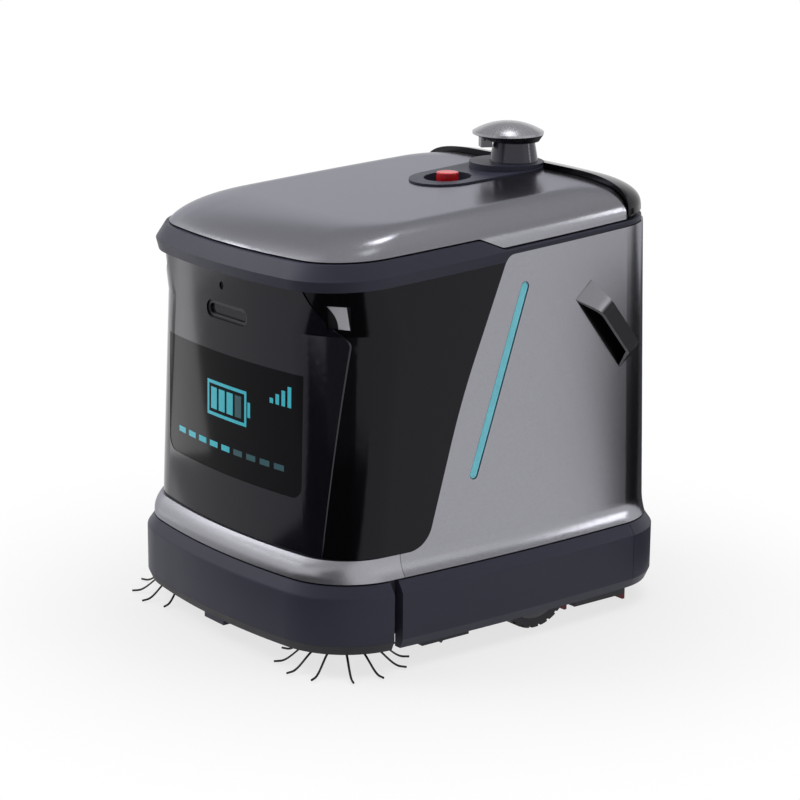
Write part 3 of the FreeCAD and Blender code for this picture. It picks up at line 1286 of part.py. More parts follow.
def hinge_brackets():
    """Fixed leaves on the rear panel, each with two knuckles."""
    inner = rear_face_y(HINGE_X - 2 * HINGE_KNUCKLE, rear_inset(HINGE_LEAF_BOTTOM)) + SEAT
    x_low = HINGE_X - 2 * HINGE_KNUCKLE
    x_high = HINGE_X + 2 * HINGE_KNUCKLE
    leaf = block(x_low, x_high, inner, inner + HINGE_LEAF, HINGE_LEAF_BOTTOM, HINGE_LEAF_TOP)
    arm_low = HINGE_LEAF_TOP - HINGE_LEAF
    for low in (x_low, x_high - HINGE_KNUCKLE):
        arm = block(low, low + HINGE_KNUCKLE, inner, HINGE_Y + HINGE_BARREL, arm_low, arm_low + HINGE_LEAF)
        rise = block(low, low + HINGE_KNUCKLE, HINGE_Y - HINGE_BARREL / 2, HINGE_Y + HINGE_BARREL,
                     arm_low, HINGE_Z)
        knuckle = crosswise(low, low + HINGE_KNUCKLE, HINGE_Y, HINGE_Z, HINGE_BARREL)
        leaf = leaf.fuse(arm).fuse(rise).fuse(knuckle)
    leaf = leaf.cut(crosswise(x_low, x_high, HINGE_Y, HINGE_Z, HINGE_PIN))
    return both_sides(leaf)


def hinge_pins():
    return both_sides(crosswise(HINGE_X - 2 * HINGE_KNUCKLE, HINGE_X + 2 * HINGE_KNUCKLE, HINGE_Y, HINGE_Z,
                                HINGE_PIN))


def hinge_arms():
    """Moving leaves: a knuckle on the pin and an arm that screws to the rear trim."""
    half = HINGE_KNUCKLE - SEAM
    wall_y = rear_face_y(HINGE_X, LID_INSET)
    low = HINGE_X - half
    high = HINGE_X + half
    barrel = crosswise(low, high, HINGE_Y, HINGE_Z, HINGE_BARREL)
    arm = block(low, high, wall_y + 2 * SEAT, HINGE_Y, HINGE_Z, HINGE_Z + HINGE_BARREL)
    leaf = barrel.fuse(arm).cut(crosswise(low, high, HINGE_Y, HINGE_Z, HINGE_PIN + RUNNING))
    return both_sides(leaf.cut(trim_form()))


# Wheels and caster

def drive_tyre():
    """Ring with grooves across its tread."""
    tyre = crosswise(WHEEL_INNER_X, WHEEL_OUTER_X, WHEEL_Y, WHEEL_RADIUS, WHEEL_RADIUS)
    tyre = tyre.cut(crosswise(WHEEL_INNER_X, WHEEL_OUTER_X, WHEEL_Y, WHEEL_RADIUS, RIM_RADIUS))
    groove = block(WHEEL_INNER_X, WHEEL_OUTER_X, WHEEL_Y - TREAD_WIDTH / 2, WHEEL_Y + TREAD_WIDTH / 2,
                   2 * WHEEL_RADIUS - TREAD_DEPTH, BEYOND)
    grooves = []
    for step in range(TREAD_GROOVES):
        cut = groove.copy()
        cut.rotate(Vector(0, WHEEL_Y, WHEEL_RADIUS), Vector(1, 0, 0), 360 * (step + 0.5) / TREAD_GROOVES)
        grooves.append(cut)
    return tyre.cut(Part.makeCompound(grooves))


def drive_rim():
    """Dished rim with a hub and round lightening holes."""
    rim = crosswise(WHEEL_INNER_X, WHEEL_OUTER_X, WHEEL_Y, WHEEL_RADIUS, RIM_RADIUS)
    floor_x = WHEEL_OUTER_X - RIM_DISH
    dish = crosswise(floor_x, WHEEL_OUTER_X, WHEEL_Y, WHEEL_RADIUS, RIM_RADIUS - RIM_WALL)
    dish = dish.cut(crosswise(floor_x, WHEEL_OUTER_X, WHEEL_Y, WHEEL_RADIUS, RIM_HUB_RADIUS))
    rim = rim.cut(dish)
    hole_radius = (RIM_RADIUS - RIM_WALL - RIM_HUB_RADIUS) / 2 - RIM_WEB
    hole_reach = (RIM_RADIUS - RIM_WALL + RIM_HUB_RADIUS) / 2
    for step in range(RIM_HOLES):
        angle = 2 * math.pi * step / RIM_HOLES
        rim = rim.cut(crosswise(WHEEL_INNER_X, WHEEL_OUTER_X, WHEEL_Y + hole_reach * math.cos(angle),
                                WHEEL_RADIUS + hole_reach * math.sin(angle), hole_radius))
    return rim.cut(crosswise(0, AXLE_END_X + SEAT, WHEEL_Y, WHEEL_RADIUS, AXLE_RADIUS + RUNNING))


def gear_motors():
    """Gear motors under the deck: one per drive wheel on a bracket, one upright per side brush."""
    drive = crosswise(MOTOR_INNER_X, MOTOR_OUTER_X, WHEEL_Y, WHEEL_RADIUS, MOTOR_RADIUS)
    drive = drive.fuse(crosswise(MOTOR_OUTER_X, AXLE_END_X, WHEEL_Y, WHEEL_RADIUS, AXLE_RADIUS))
    bracket = block(MOTOR_OUTER_X - MOTOR_BRACKET_LENGTH, MOTOR_OUTER_X - ARCH_MARGIN,
                    WHEEL_Y - MOTOR_BRACKET_HALF, WHEEL_Y + MOTOR_BRACKET_HALF, WHEEL_RADIUS, DECK_BOTTOM)
    brush = upright(BRUSH_X, BRUSH_Y, BRUSH_MOTOR_BOTTOM, DECK_BOTTOM, BRUSH_MOTOR_RADIUS)
    brush = brush.fuse(upright(BRUSH_X, BRUSH_Y, BRUSH_SHAFT_BOTTOM, BRUSH_MOTOR_BOTTOM, BRUSH_SHAFT))
    return Part.makeCompound([both_sides(drive.fuse(bracket)), both_sides(brush)])


def caster_fork():
    """Swivelling fork with a stem, two legs and the wheel's axle."""
    plate_top = DECK_BOTTOM - SEAT
    plate = upright(0, CASTER_Y, plate_top - CASTER_PLATE, plate_top, CASTER_PLATE_RADIUS)
    stem = upright(0, CASTER_Y, plate_top, DECK_TOP, CASTER_STEM)
    axle_y = CASTER_Y + CASTER_TRAIL
    leg_low = CASTER_WIDTH / 2 + CASTER_LEG_GAP
    foot = 2 * CASTER_AXLE
    corners = [(CASTER_Y - CASTER_LEG_REACH, plate_top - CASTER_PLATE, 0), (axle_y - foot, CASTER_RADIUS, 0),
               (axle_y - foot / 2, CASTER_RADIUS - foot, 0), (axle_y + foot / 2, CASTER_RADIUS - foot, 0),
               (axle_y + foot, CASTER_RADIUS, 0), (CASTER_Y + CASTER_LEG_REACH, plate_top - CASTER_PLATE, 0)]
    leg = side_slab(corners, leg_low, leg_low + CASTER_LEG)
    axle = crosswise(-leg_low - CASTER_LEG, leg_low + CASTER_LEG, axle_y, CASTER_RADIUS, CASTER_AXLE)
    return plate.fuse(stem).fuse(leg).fuse(mirrored(leg)).fuse(axle)


def caster_wheel():
    axle_y = CASTER_Y + CASTER_TRAIL
    half = CASTER_WIDTH / 2
    wheel = crosswise(-half, half, axle_y, CASTER_RADIUS, CASTER_RADIUS)
    rims = [edge for edge in wheel.Edges if len(edge.Vertexes) == 1]
    wheel = wheel.makeFillet(CASTER_AXLE, rims)
    return wheel.cut(crosswise(-half, half, axle_y, CASTER_RADIUS, CASTER_AXLE + RUNNING))


# Side brushes

def brush_hub():
    hub = upright(BRUSH_X, BRUSH_Y, BRUSH_HUB_BOTTOM, BRUSH_HUB_TOP, BRUSH_HUB_RADIUS)
    return hub.cut(upright(BRUSH_X, BRUSH_Y, BRUSH_SHAFT_BOTTOM - SEAT, BRUSH_HUB_TOP, BRUSH_SHAFT + RUNNING))


def brush_bristles():
    """Tufts that leave the hub sloping down and flatten out along the floor."""
    root = BRUSH_HUB_RADIUS + SEAT
    thick = BRUSH_TUFT_WIDTH
    corners = [(root, BRUSH_ROOT_Z), (BRUSH_KNEE_RADIUS, BRUSH_KNEE_Z + thick),
               (BRUSH_TIP_RADIUS, BRUSH_TIP_Z + thick / 2), (BRUSH_TIP_RADIUS, BRUSH_TIP_Z),
               (BRUSH_KNEE_RADIUS, BRUSH_KNEE_Z), (root, BRUSH_ROOT_Z - thick)]
    points = [Vector(r, -thick / 2, z) for r, z in corners]
    tuft = Part.Face(Part.makePolygon(points + points[:1])).extrude(Vector(0, thick, 0))
    tufts = []
    for step in range(BRUSH_TUFTS):
        copy = tuft.copy()
        copy.rotate(Vector(0, 0, 0), Vector(0, 0, 1), 360 * step / BRUSH_TUFTS)
        copy.translate(Vector(BRUSH_X, BRUSH_Y, 0))
        tufts.append(copy)
    return Part.makeCompound(tufts)


# Scrubbing deck and squeegee

def housing_corners(drawn, bottom):
    front = HOUSING_FRONT_Y + drawn
    rear = HOUSING_REAR_Y - drawn
    top = HOUSING_TOP - drawn
    return [(front, bottom, 0), (front, top - HOUSING_BEVEL, 0), (front + HOUSING_BEVEL, top, 0),
            (rear - HOUSING_BEVEL, top, 0), (rear, top - HOUSING_BEVEL, 0), (rear, bottom, 0)]


def brush_deck():
    """Trough over the roller with end plates, bearing bores and a flange on the lift posts."""
    half = HOUSING_HALF_LENGTH
    trough = side_slab(housing_corners(0, HOUSING_BOTTOM), -half, half)
    trough = trough.cut(side_slab(housing_corners(HOUSING_WALL, 0), -half + HOUSING_WALL, half - HOUSING_WALL))
    reach = LIFT_POST_X + LIFT_LUG
    flange = block(-reach, reach, HOUSING_REAR_Y, HOUSING_FLANGE_Y, HOUSING_FLANGE_BOTTOM, HOUSING_FLANGE_TOP)
    trough = trough.fuse(flange)
    bore = upright(LIFT_POST_X, DECK_POST_Y, 0, BEYOND, LIFT_POST_RADIUS + RUNNING)
    trough = trough.cut(bore.fuse(mirrored(bore)))
    return trough.cut(crosswise(-half, half, ROLLER_Y, ROLLER_Z, ROLLER_JOURNAL + RUNNING))


def roller_reach():
    return HOUSING_HALF_LENGTH - HOUSING_WALL - ROLLER_END_GAP


def roller_core():
    half = roller_reach()
    core = crosswise(-half, half, ROLLER_Y, ROLLER_Z, ROLLER_CORE)
    return core.fuse(crosswise(-HOUSING_HALF_LENGTH, HOUSING_HALF_LENGTH, ROLLER_Y, ROLLER_Z, ROLLER_JOURNAL))


def roller_bristles():
    """Twisted rows of bristles round the core, lofted through turned star sections."""
    half = roller_reach() - ROLLER_END_GAP
    sections = []
    for step in range(ROLLER_STEPS):
        share = step / (ROLLER_STEPS - 1)
        points = []
        for tip in range(2 * ROLLER_LOBES):
            angle = math.radians(180 * tip / ROLLER_LOBES + ROLLER_TWIST * share)
            radius = ROLLER_ROOT if tip % 2 else ROLLER_RADIUS
            points.append(Vector(-half + 2 * half * share, ROLLER_Y + radius * math.cos(angle),
                                 ROLLER_Z + radius * math.sin(angle)))
        sections.append(Part.makePolygon(points + points[:1]))
    brush = Part.makeLoft(sections, True, True)
    return brush.cut(crosswise(-BEYOND, BEYOND, ROLLER_Y, ROLLER_Z, ROLLER_CORE))


def deck_posts():
    """Footed posts that carry the tank bay, and the posts that deck and squeegee slide on."""
    posts = []
    for x in (-POST_X, POST_X):
        for y in (POST_FRONT_Y, POST_REAR_Y):
            post = upright(x, y, DECK_TOP, BAY_FLOOR, POST_RADIUS)
            posts.append(post.fuse(upright(x, y, DECK_TOP, DECK_TOP + POST_FOOT_HEIGHT, POST_FOOT_RADIUS)))
    for x in (-LIFT_POST_X, LIFT_POST_X):
        for y, bottom in ((DECK_POST_Y, DECK_POST_BOTTOM), (SQUEEGEE_POST_Y, SQUEEGEE_POST_BOTTOM)):
            posts.append(upright(x, y, bottom, DECK_BOTTOM, LIFT_POST_RADIUS))
    return Part.makeCompound(posts)


def squeegee_body():
    """Bevelled carrier with a suction port and bores for its posts."""
    half = SQUEEGEE_HALF_LENGTH
    corners = [(SQUEEGEE_FRONT_Y, SQUEEGEE_BOTTOM, 0), (SQUEEGEE_FRONT_Y, SQUEEGEE_TOP - SQUEEGEE_BEVEL, 0),
               (SQUEEGEE_FRONT_Y + SQUEEGEE_BEVEL, SQUEEGEE_TOP, 0),
               (SQUEEGEE_REAR_Y - SQUEEGEE_BEVEL, SQUEEGEE_TOP, 0),
               (SQUEEGEE_REAR_Y, SQUEEGEE_TOP - SQUEEGEE_BEVEL, 0), (SQUEEGEE_REAR_Y, SQUEEGEE_BOTTOM, 0)]
    body = side_slab(corners, -half, half)
    channel = block(-half + SQUEEGEE_BEVEL, half - SQUEEGEE_BEVEL, SQUEEGEE_FRONT_Y + SQUEEGEE_BEVEL,
                    SQUEEGEE_REAR_Y - SQUEEGEE_BEVEL, 0, (SQUEEGEE_BOTTOM + SQUEEGEE_TOP) / 2)
    body = body.cut(channel)
    body = body.cut(upright(0, SQUEEGEE_POST_Y, 0, BEYOND, SQUEEGEE_PORT_RADIUS))
    bore = upright(LIFT_POST_X, SQUEEGEE_POST_Y, 0, BEYOND, LIFT_POST_RADIUS + RUNNING)
    return body.cut(bore.fuse(mirrored(bore)))


def squeegee_blades():
    """Rubber blades along the back and the front of the carrier."""
    rear = block(-BLADE_HALF_LENGTH, BLADE_HALF_LENGTH, SQUEEGEE_REAR_Y, SQUEEGEE_REAR_Y + BLADE_THICKNESS,
                 BLADE_BOTTOM, BLADE_TOP)
    front = block(-FRONT_BLADE_HALF_LENGTH, FRONT_BLADE_HALF_LENGTH, SQUEEGEE_FRONT_Y - BLADE_THICKNESS,
                  SQUEEGEE_FRONT_Y, FRONT_BLADE_BOTTOM, FRONT_BLADE_TOP)
    return Part.makeCompound([rear, front])


def blade_strap():
    """Strap that clamps the rear blade."""
    low = SQUEEGEE_REAR_Y + BLADE_THICKNESS
    return block(-STRAP_HALF_LENGTH, STRAP_HALF_LENGTH, low, low + BLADE_STRAP, BLADE_TOP / 2, BLADE_TOP)


# Rear fittings

def charge_contacts():
    return contact_pocket(0)


def power_button():
    """Round push button held by a flange behind the rear panel."""
    high = BUTTON_Z + BUTTON_FLANGE
    inner = rear_face_y(BUTTON_X + BUTTON_FLANGE, rear_inset(high) + PANEL_WALL) - BUTTON_GAP
    outer = rear_face_y(BUTTON_X, rear_inset(BUTTON_Z)) + BUTTON_PROUD
    button = lengthwise(BUTTON_X, inner, outer, BUTTON_Z, BUTTON_RADIUS)
    return button.fuse(lengthwise(BUTTON_X, inner - BUTTON_FLANGE_THICKNESS, inner, BUTTON_Z, BUTTON_FLANGE))


SINGLE_PIECES = (front_bumper, bumper_lip, bumper_guide_pins, side_skirts, rear_skirt, base_tray, deck_posts,
                 battery_pack, suction_fan, control_box, rear_panel, front_band, front_shell, front_panel,
                 display_screen, depth_camera, camera_window, front_camera, corner_sensors, light_strips, collar,
                 tank_bay, clean_tank, waste_tank, tank_caps, lid_cover, rear_trim, sensor_bezel, lidar_base,
                 lidar_window, lidar_cap, lidar_rotor, sensor_block, estop_button, hinge_brackets, hinge_pins,
                 hinge_arms, gear_motors, caster_fork, caster_wheel, brush_deck, roller_core, roller_bristles,
                 squeegee_body, squeegee_blades, blade_strap, charge_contacts, power_button)
PAIRED_PIECES = (side_panel, grab_handle, drive_tyre, drive_rim, brush_hub, brush_bristles)

for make in SINGLE_PIECES:
    make().exportStep("parts/" + make.__name__ + ".step")
for make in PAIRED_PIECES:
    piece = make()
    piece.exportStep("parts/" + make.__name__ + "_right.step")
    mirrored(piece).exportStep("parts/" + make.__name__ + "_left.step")
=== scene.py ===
import json
import math

import bpy
import numpy as np
from mathutils import Matrix


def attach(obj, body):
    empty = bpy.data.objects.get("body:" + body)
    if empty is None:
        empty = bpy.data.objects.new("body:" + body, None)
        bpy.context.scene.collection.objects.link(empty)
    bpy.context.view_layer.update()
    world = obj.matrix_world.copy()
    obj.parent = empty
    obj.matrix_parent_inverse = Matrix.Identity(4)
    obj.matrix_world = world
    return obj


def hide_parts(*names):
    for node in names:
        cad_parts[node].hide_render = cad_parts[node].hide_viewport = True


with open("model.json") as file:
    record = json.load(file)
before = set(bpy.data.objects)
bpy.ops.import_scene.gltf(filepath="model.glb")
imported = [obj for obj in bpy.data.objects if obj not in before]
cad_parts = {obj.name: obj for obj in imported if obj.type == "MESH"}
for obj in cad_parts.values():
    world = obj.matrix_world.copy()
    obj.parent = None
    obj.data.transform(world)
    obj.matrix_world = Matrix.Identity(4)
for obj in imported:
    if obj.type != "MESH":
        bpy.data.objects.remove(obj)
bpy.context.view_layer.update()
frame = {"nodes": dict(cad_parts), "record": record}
NODES = frame["nodes"]

# Camera, fitted to the photograph's outlines; metres and unit vectors
CAMERA_PLACE = (2.2929, -1.7891, 1.0146)
CAMERA_RIGHT = (0.61342, 0.78972, 0.00796)
CAMERA_UP = (-0.20891, 0.15254, 0.96596)
FOCAL_PIXELS = 2462.7
IMAGE_PIXELS = 800.0
SENSOR_MM = 36.0
CENTRE_PIXEL = (399.14, 408.08)
VIEW_DEPTH = 50.0

# Sizes that the fine pieces and the finishes share with the solids, in metres
HALF_LENGTH = 0.280
FRONT_BOW = 0.880
BODY_FRONT_INSET = 0.025
BODY_TAPER = 0.005
FLARE_TOP = 0.133
BODY_FORM_TOP = 0.500
SCREEN_PROUD = 0.0010
BRUSH_X = 0.153
BRUSH_Y = -0.200
LIDAR_Y = 0.176
CAP_Y = 0.166
CAP_METAL_EDGE = (0.5592, 0.5598)
HANDLE_FOOT = (0.203, 0.322)
HANDLE_UP = (-0.628, 0.778)
HANDLE_MOUTH = (-0.778, -0.628)

# Handle hood: each pair is where a look begins and where it is complete, in metres or as a share of facing
HOOD_CLEAR_OF_SIDE = (0.2000, 0.2006)
HOOD_FACES_OUT = (0.02, 0.10)
HOOD_FACES_UP = (0.22, 0.40)
# The rim's pairs and share place a painted highlight: a half-silver glint along the mouth's rim
RIM_GLINT_FACES_MOUTH = (0.5, 0.7)
RIM_GLINT_FROM_BACK = (0.014, 0.016)
RIM_GLINT_SHARE = 0.5

# Side brushes, in metres and radians; START, SHARE and TAPER are parts of a bristle's length or radius
BRISTLE_COUNT = 12
BRISTLE_ROOT = 0.022
BRISTLE_LENGTH = 0.0565
BRISTLE_UNEVEN_LENGTH = 0.0008
BRISTLE_UNEVEN_TURN = 0.05
BRISTLE_UNEVEN_STEP = 2.4
BRISTLE_ROOT_HEIGHT = 0.0236
BRISTLE_FALL = 0.0206
BRISTLE_FALL_START = 0.22
BRISTLE_FALL_SHARE = 0.66
BRISTLE_RADIUS = 0.00155
BRISTLE_TAPER = 0.15

# Windows of the corner sensors, in metres; a window's plane stands LENS_REACH from the upright middle axis
LENS_REACH = 0.2765
LENS_TURN = math.radians(38)
LENS_TOP = 0.4220
LENS_HEIGHT = 0.0255
LENS_INNER = -0.0142
LENS_INNER_SWING = 0.0135
LENS_HOLLOW = 2.2
LENS_OUTER = 0.0087
LENS_OUTER_LEAN = 0.0041

# Eye on the sensor block, in metres from the scanner's axis
EYE_TURN = math.radians(28)
EYE_OUT = 0.0082
EYE_FORWARD = 0.0385
EYE_HEIGHT = 0.5525
EYE_RADIUS = 0.0014

# Display, in metres across the front and above the floor
PATCH_LIFT = 0.00015
GAUGE_LEFT = -0.040
GAUGE_RIGHT = 0.040
GAUGE_LOW = 0.262
GAUGE_HIGH = 0.304
GAUGE_EDGE = 0.004
TIP_GAP = 0.002
TIP_WIDTH = 0.005
TIP_INSET = 0.012
CELLS = 4
CELLS_LIT = 3
CELL_INSET = 0.008
CELL_PITCH = 0.0165
CELL_WIDTH = 0.0125
SIGNAL_BARS = 4
SIGNAL_START = 0.082
SIGNAL_PITCH = 0.010
SIGNAL_WIDTH = 0.006
SIGNAL_LOW = 0.300
SIGNAL_STEP = 0.006
DASHES = 9
DASHES_LIT = 5
PROGRESS_START = -0.110
PROGRESS_PITCH = 0.025
PROGRESS_WIDTH = 0.017
PROGRESS_LOW = 0.224
PROGRESS_HIGH = 0.231

# Patterns of the finishes, in features per metre, and per radian for the cap's brush marks
FLAKES = 1400.0
FILM_WAVES = 260.0
FILM_CLOUDS = 9.0
PLASTIC_GRAIN = 1600.0
GUIDE_CLOUDS = 30.0
ROLLED_LINES = 300.0
SCREEN_PIXELS = 900.0
CAP_MARKS = 26.0

# Colours of the gloss on plastic, and of metallic paint seen edge on
PLASTIC_GLOSS = (0.90, 0.90, 1.0)
PAINT_EDGE = (0.62, 0.62, 0.66)


# Node helpers

def new_material(name):
    """A material with its node tree, its shader and its object coordinates."""
    material = bpy.data.materials.new(name)
    material.use_nodes = True
    tree = material.node_tree
    shader = tree.nodes["Principled BSDF"]
    place = tree.nodes.new("ShaderNodeTexCoord").outputs["Object"]
    return material, tree, shader, place


def feed(tree, value, shader, socket):
    """Let a node's output drive one of the shader's sockets."""
    tree.links.new(value, shader.inputs[socket])


def noise(tree, place, scale, detail=3.0, stretch=None):
    """Noise on object coordinates, in features per metre; stretch scales the three axes."""
    if stretch is not None:
        mapping = tree.nodes.new("ShaderNodeMapping")
        mapping.inputs["Scale"].default_value = stretch
        tree.links.new(place, mapping.inputs["Vector"])
        place = mapping.outputs["Vector"]
    node = tree.nodes.new("ShaderNodeTexNoise")
    node.inputs["Scale"].default_value = scale
    node.inputs["Detail"].default_value = detail
    tree.links.new(place, node.inputs["Vector"])
    return node.outputs["Fac"]


def spread(tree, value, low, high):
    """A 0 to 1 value brought to run from low to high."""
    node = tree.nodes.new("ShaderNodeMapRange")
    node.inputs["To Min"].default_value = low
    node.inputs["To Max"].default_value = high
    tree.links.new(value, node.inputs["Value"])
    return node.outputs["Result"]


def between(tree, value, start, end):
    """0 below start and 1 above end, smooth between."""
    node = tree.nodes.new("ShaderNodeMapRange")
    node.interpolation_type = "SMOOTHSTEP"
    node.inputs["From Min"].default_value = start
    node.inputs["From Max"].default_value = end
    tree.links.new(value, node.inputs["Value"])
    return node.outputs["Result"]


def axis_of(tree, vector, axis):
    """One component of a vector."""
    split = tree.nodes.new("ShaderNodeSeparateXYZ")
    tree.links.new(vector, split.inputs["Vector"])
    return split.outputs[axis]


def calculate(tree, operation, first, second=0.0):
    """A calculation on one or two values, each a number or a node's output."""
    node = tree.nodes.new("ShaderNodeMath")
    node.operation = operation
    for socket, value in zip(node.inputs, (first, second)):
        if isinstance(value, (int, float)):
            socket.default_value = value
        else:
            tree.links.new(value, socket)
    return node.outputs["Value"]


def two_tone(tree, factor, low, high):
    """Colour that goes from low to high with the factor; either is a colour or a node's output."""
    node = tree.nodes.new("ShaderNodeMix")
    node.data_type = "RGBA"
    for socket, tone in ((node.inputs["A"], low), (node.inputs["B"], high)):
        if isinstance(tone, tuple):
            socket.default_value = (*tone, 1)
        else:
            tree.links.new(tone, socket)
    tree.links.new(factor, node.inputs["Factor"])
    return node.outputs["Result"]


def bump(tree, shader, height, strength, distance):
    """Fine relief from a height, in metres at full strength."""
    node = tree.nodes.new("ShaderNodeBump")
    node.inputs["Strength"].default_value = strength
    node.inputs["Distance"].default_value = distance
    tree.links.new(height, node.inputs["Height"])
    feed(tree, node.outputs["Normal"], shader, "Normal")


def tint(colour, share):
    """A colour made lighter or darker by a share."""
    return tuple(channel * share for channel in colour)


# Materials

def plain_finish(name, colour, roughness, metallic=0.0, specular=0.5, mottle=0.06, cloud=14.0,
                 grain_depth=0.0, sheen_spread=0.05):
    """Moulded or painted surface: cloudy tone and gloss, with a fine grain."""
    material, tree, shader, place = new_material(name)
    shader.inputs["Metallic"].default_value = metallic
    shader.inputs["Specular IOR Level"].default_value = specular
    shader.inputs["Specular Tint"].default_value = (*PLASTIC_GLOSS, 1)
    tone = two_tone(tree, noise(tree, place, cloud), tint(colour, 1 - mottle), tint(colour, 1 + mottle))
    feed(tree, tone, shader, "Base Color")
    sheen = noise(tree, place, cloud * 3)
    feed(tree, spread(tree, sheen, roughness - sheen_spread, roughness + sheen_spread), shader, "Roughness")
    if grain_depth:
        bump(tree, shader, noise(tree, place, PLASTIC_GRAIN, 2.0), 0.5, grain_depth)
    return material


def metallic_paint(name, colour, roughness):
    """Metallic paint: fine flakes of differing tone in a smooth film."""
    material, tree, shader, place = new_material(name)
    shader.inputs["Metallic"].default_value = 1.0
    shader.inputs["Specular Tint"].default_value = (*PAINT_EDGE, 1)
    flakes = tree.nodes.new("ShaderNodeTexVoronoi")
    flakes.inputs["Scale"].default_value = FLAKES
    tree.links.new(place, flakes.inputs["Vector"])
    shade = axis_of(tree, flakes.outputs["Color"], "X")
    feed(tree, two_tone(tree, shade, tint(colour, 0.94), tint(colour, 1.06)), shader, "Base Color")
    sheen = noise(tree, place, FILM_CLOUDS)
    feed(tree, spread(tree, sheen, roughness - 0.02, roughness + 0.02), shader, "Roughness")
    bump(tree, shader, noise(tree, place, FILM_WAVES, 2.0), 0.12, 0.00002)
    return material


def scanner_cap(name):
    """Brushed metal dome over a black cone: the brush marks run out from the middle."""
    material, tree, shader, place = new_material(name)
    metal = between(tree, axis_of(tree, place, "Z"), *CAP_METAL_EDGE)
    north = calculate(tree, "SUBTRACT", axis_of(tree, place, "Y"), CAP_Y)
    marks = tree.nodes.new("ShaderNodeTexNoise")
    marks.noise_dimensions = "1D"
    marks.inputs["Scale"].default_value = CAP_MARKS
    marks.inputs["Detail"].default_value = 4.0
    tree.links.new(calculate(tree, "ARCTAN2", axis_of(tree, place, "X"), north), marks.inputs["W"])
    brushed = two_tone(tree, marks.outputs["Fac"], (0.22, 0.22, 0.24), (0.50, 0.50, 0.53))
    feed(tree, two_tone(tree, metal, (0.012, 0.012, 0.014), brushed), shader, "Base Color")
    feed(tree, metal, shader, "Metallic")
    feed(tree, spread(tree, marks.outputs["Fac"], 0.20, 0.32), shader, "Roughness")
    return material


def light_guide(name):
    """Milky cyan light guide, a little cloudy under a clear coat."""
    material, tree, shader, place = new_material(name)
    milky = two_tone(tree, noise(tree, place, GUIDE_CLOUDS), (0.155, 0.76, 0.92), (0.215, 0.84, 0.99))
    feed(tree, milky, shader, "Base Color")
    shader.inputs["Roughness"].default_value = 0.22
    shader.inputs["Coat Weight"].default_value = 0.4
    return material


def along_handle(tree, vector, direction):
    """How far a vector reaches along a (y, z) direction of the handle's side view."""
    north = calculate(tree, "MULTIPLY", axis_of(tree, vector, "Y"), direction[0])
    rise = calculate(tree, "MULTIPLY", axis_of(tree, vector, "Z"), direction[1])
    return calculate(tree, "ADD", north, rise)


def hood_paint(name):
    """Handle hood: silver on its upper end, a painted highlight of half silver along its mouth's rim, dark
    outside, black within.
    """
    material, tree, shader, place = new_material(name)
    normal = tree.nodes.new("ShaderNodeNewGeometry").outputs["Normal"]
    east = axis_of(tree, place, "X")
    clear = between(tree, calculate(tree, "ABSOLUTE", east), *HOOD_CLEAR_OF_SIDE)
    outward = calculate(tree, "MULTIPLY", axis_of(tree, normal, "X"), calculate(tree, "SIGN", east))
    outside = calculate(tree, "MULTIPLY", clear, between(tree, outward, *HOOD_FACES_OUT))
    facing_up = between(tree, along_handle(tree, normal, HANDLE_UP), *HOOD_FACES_UP)
    upper_end = calculate(tree, "MULTIPLY", outside, facing_up)
    # Painted highlight: faces turned to the mouth, just clear of its back, get half the silver as a glint on
    # the rim
    facing_mouth = between(tree, along_handle(tree, normal, HANDLE_MOUTH), *RIM_GLINT_FACES_MOUTH)
    foot_reach = HANDLE_FOOT[0] * HANDLE_MOUTH[0] + HANDLE_FOOT[1] * HANDLE_MOUTH[1]
    from_back = calculate(tree, "SUBTRACT", along_handle(tree, place, HANDLE_MOUTH), foot_reach)
    rim = calculate(tree, "MULTIPLY", facing_mouth, between(tree, from_back, *RIM_GLINT_FROM_BACK))
    silver_and_rim_glint = calculate(tree, "MAXIMUM", upper_end, calculate(tree, "MULTIPLY", rim, RIM_GLINT_SHARE))
    flakes = noise(tree, place, FLAKES, 1.0)
    silver = two_tone(tree, flakes, (0.30, 0.30, 0.325), (0.36, 0.36, 0.385))
    dark = two_tone(tree, outside, (0.004, 0.004, 0.005), (0.014, 0.014, 0.018))
    feed(tree, two_tone(tree, silver_and_rim_glint, dark, silver), shader, "Base Color")
    feed(tree, calculate(tree, "MULTIPLY", silver_and_rim_glint, 0.8), shader, "Metallic")
    feed(tree, spread(tree, flakes, 0.26, 0.32), shader, "Roughness")
    shader.inputs["Specular IOR Level"].default_value = 0.25
    return material


def brushed_metal(name, colour, roughness):
    """Turned or rolled metal with fine lines along X."""
    material, tree, shader, place = new_material(name)
    shader.inputs["Metallic"].default_value = 1.0
    lines = noise(tree, place, ROLLED_LINES, 3.0, (0.05, 1.0, 1.0))
    feed(tree, two_tone(tree, lines, tint(colour, 0.8), tint(colour, 1.15)), shader, "Base Color")
    feed(tree, spread(tree, lines, roughness - 0.06, roughness + 0.08), shader, "Roughness")
    return material


def glowing(name, colour, strength):
    """Lit graphic on the screen, with a faint pixel pattern."""
    material, tree, shader, place = new_material(name)
    lit = two_tone(tree, noise(tree, place, SCREEN_PIXELS, 1.0), tint(colour, 0.88), tint(colour, 1.1))
    feed(tree, lit, shader, "Base Color")
    feed(tree, lit, shader, "Emission Color")
    shader.inputs["Emission Strength"].default_value = strength
    shader.inputs["Roughness"].default_value = 0.3
    return material


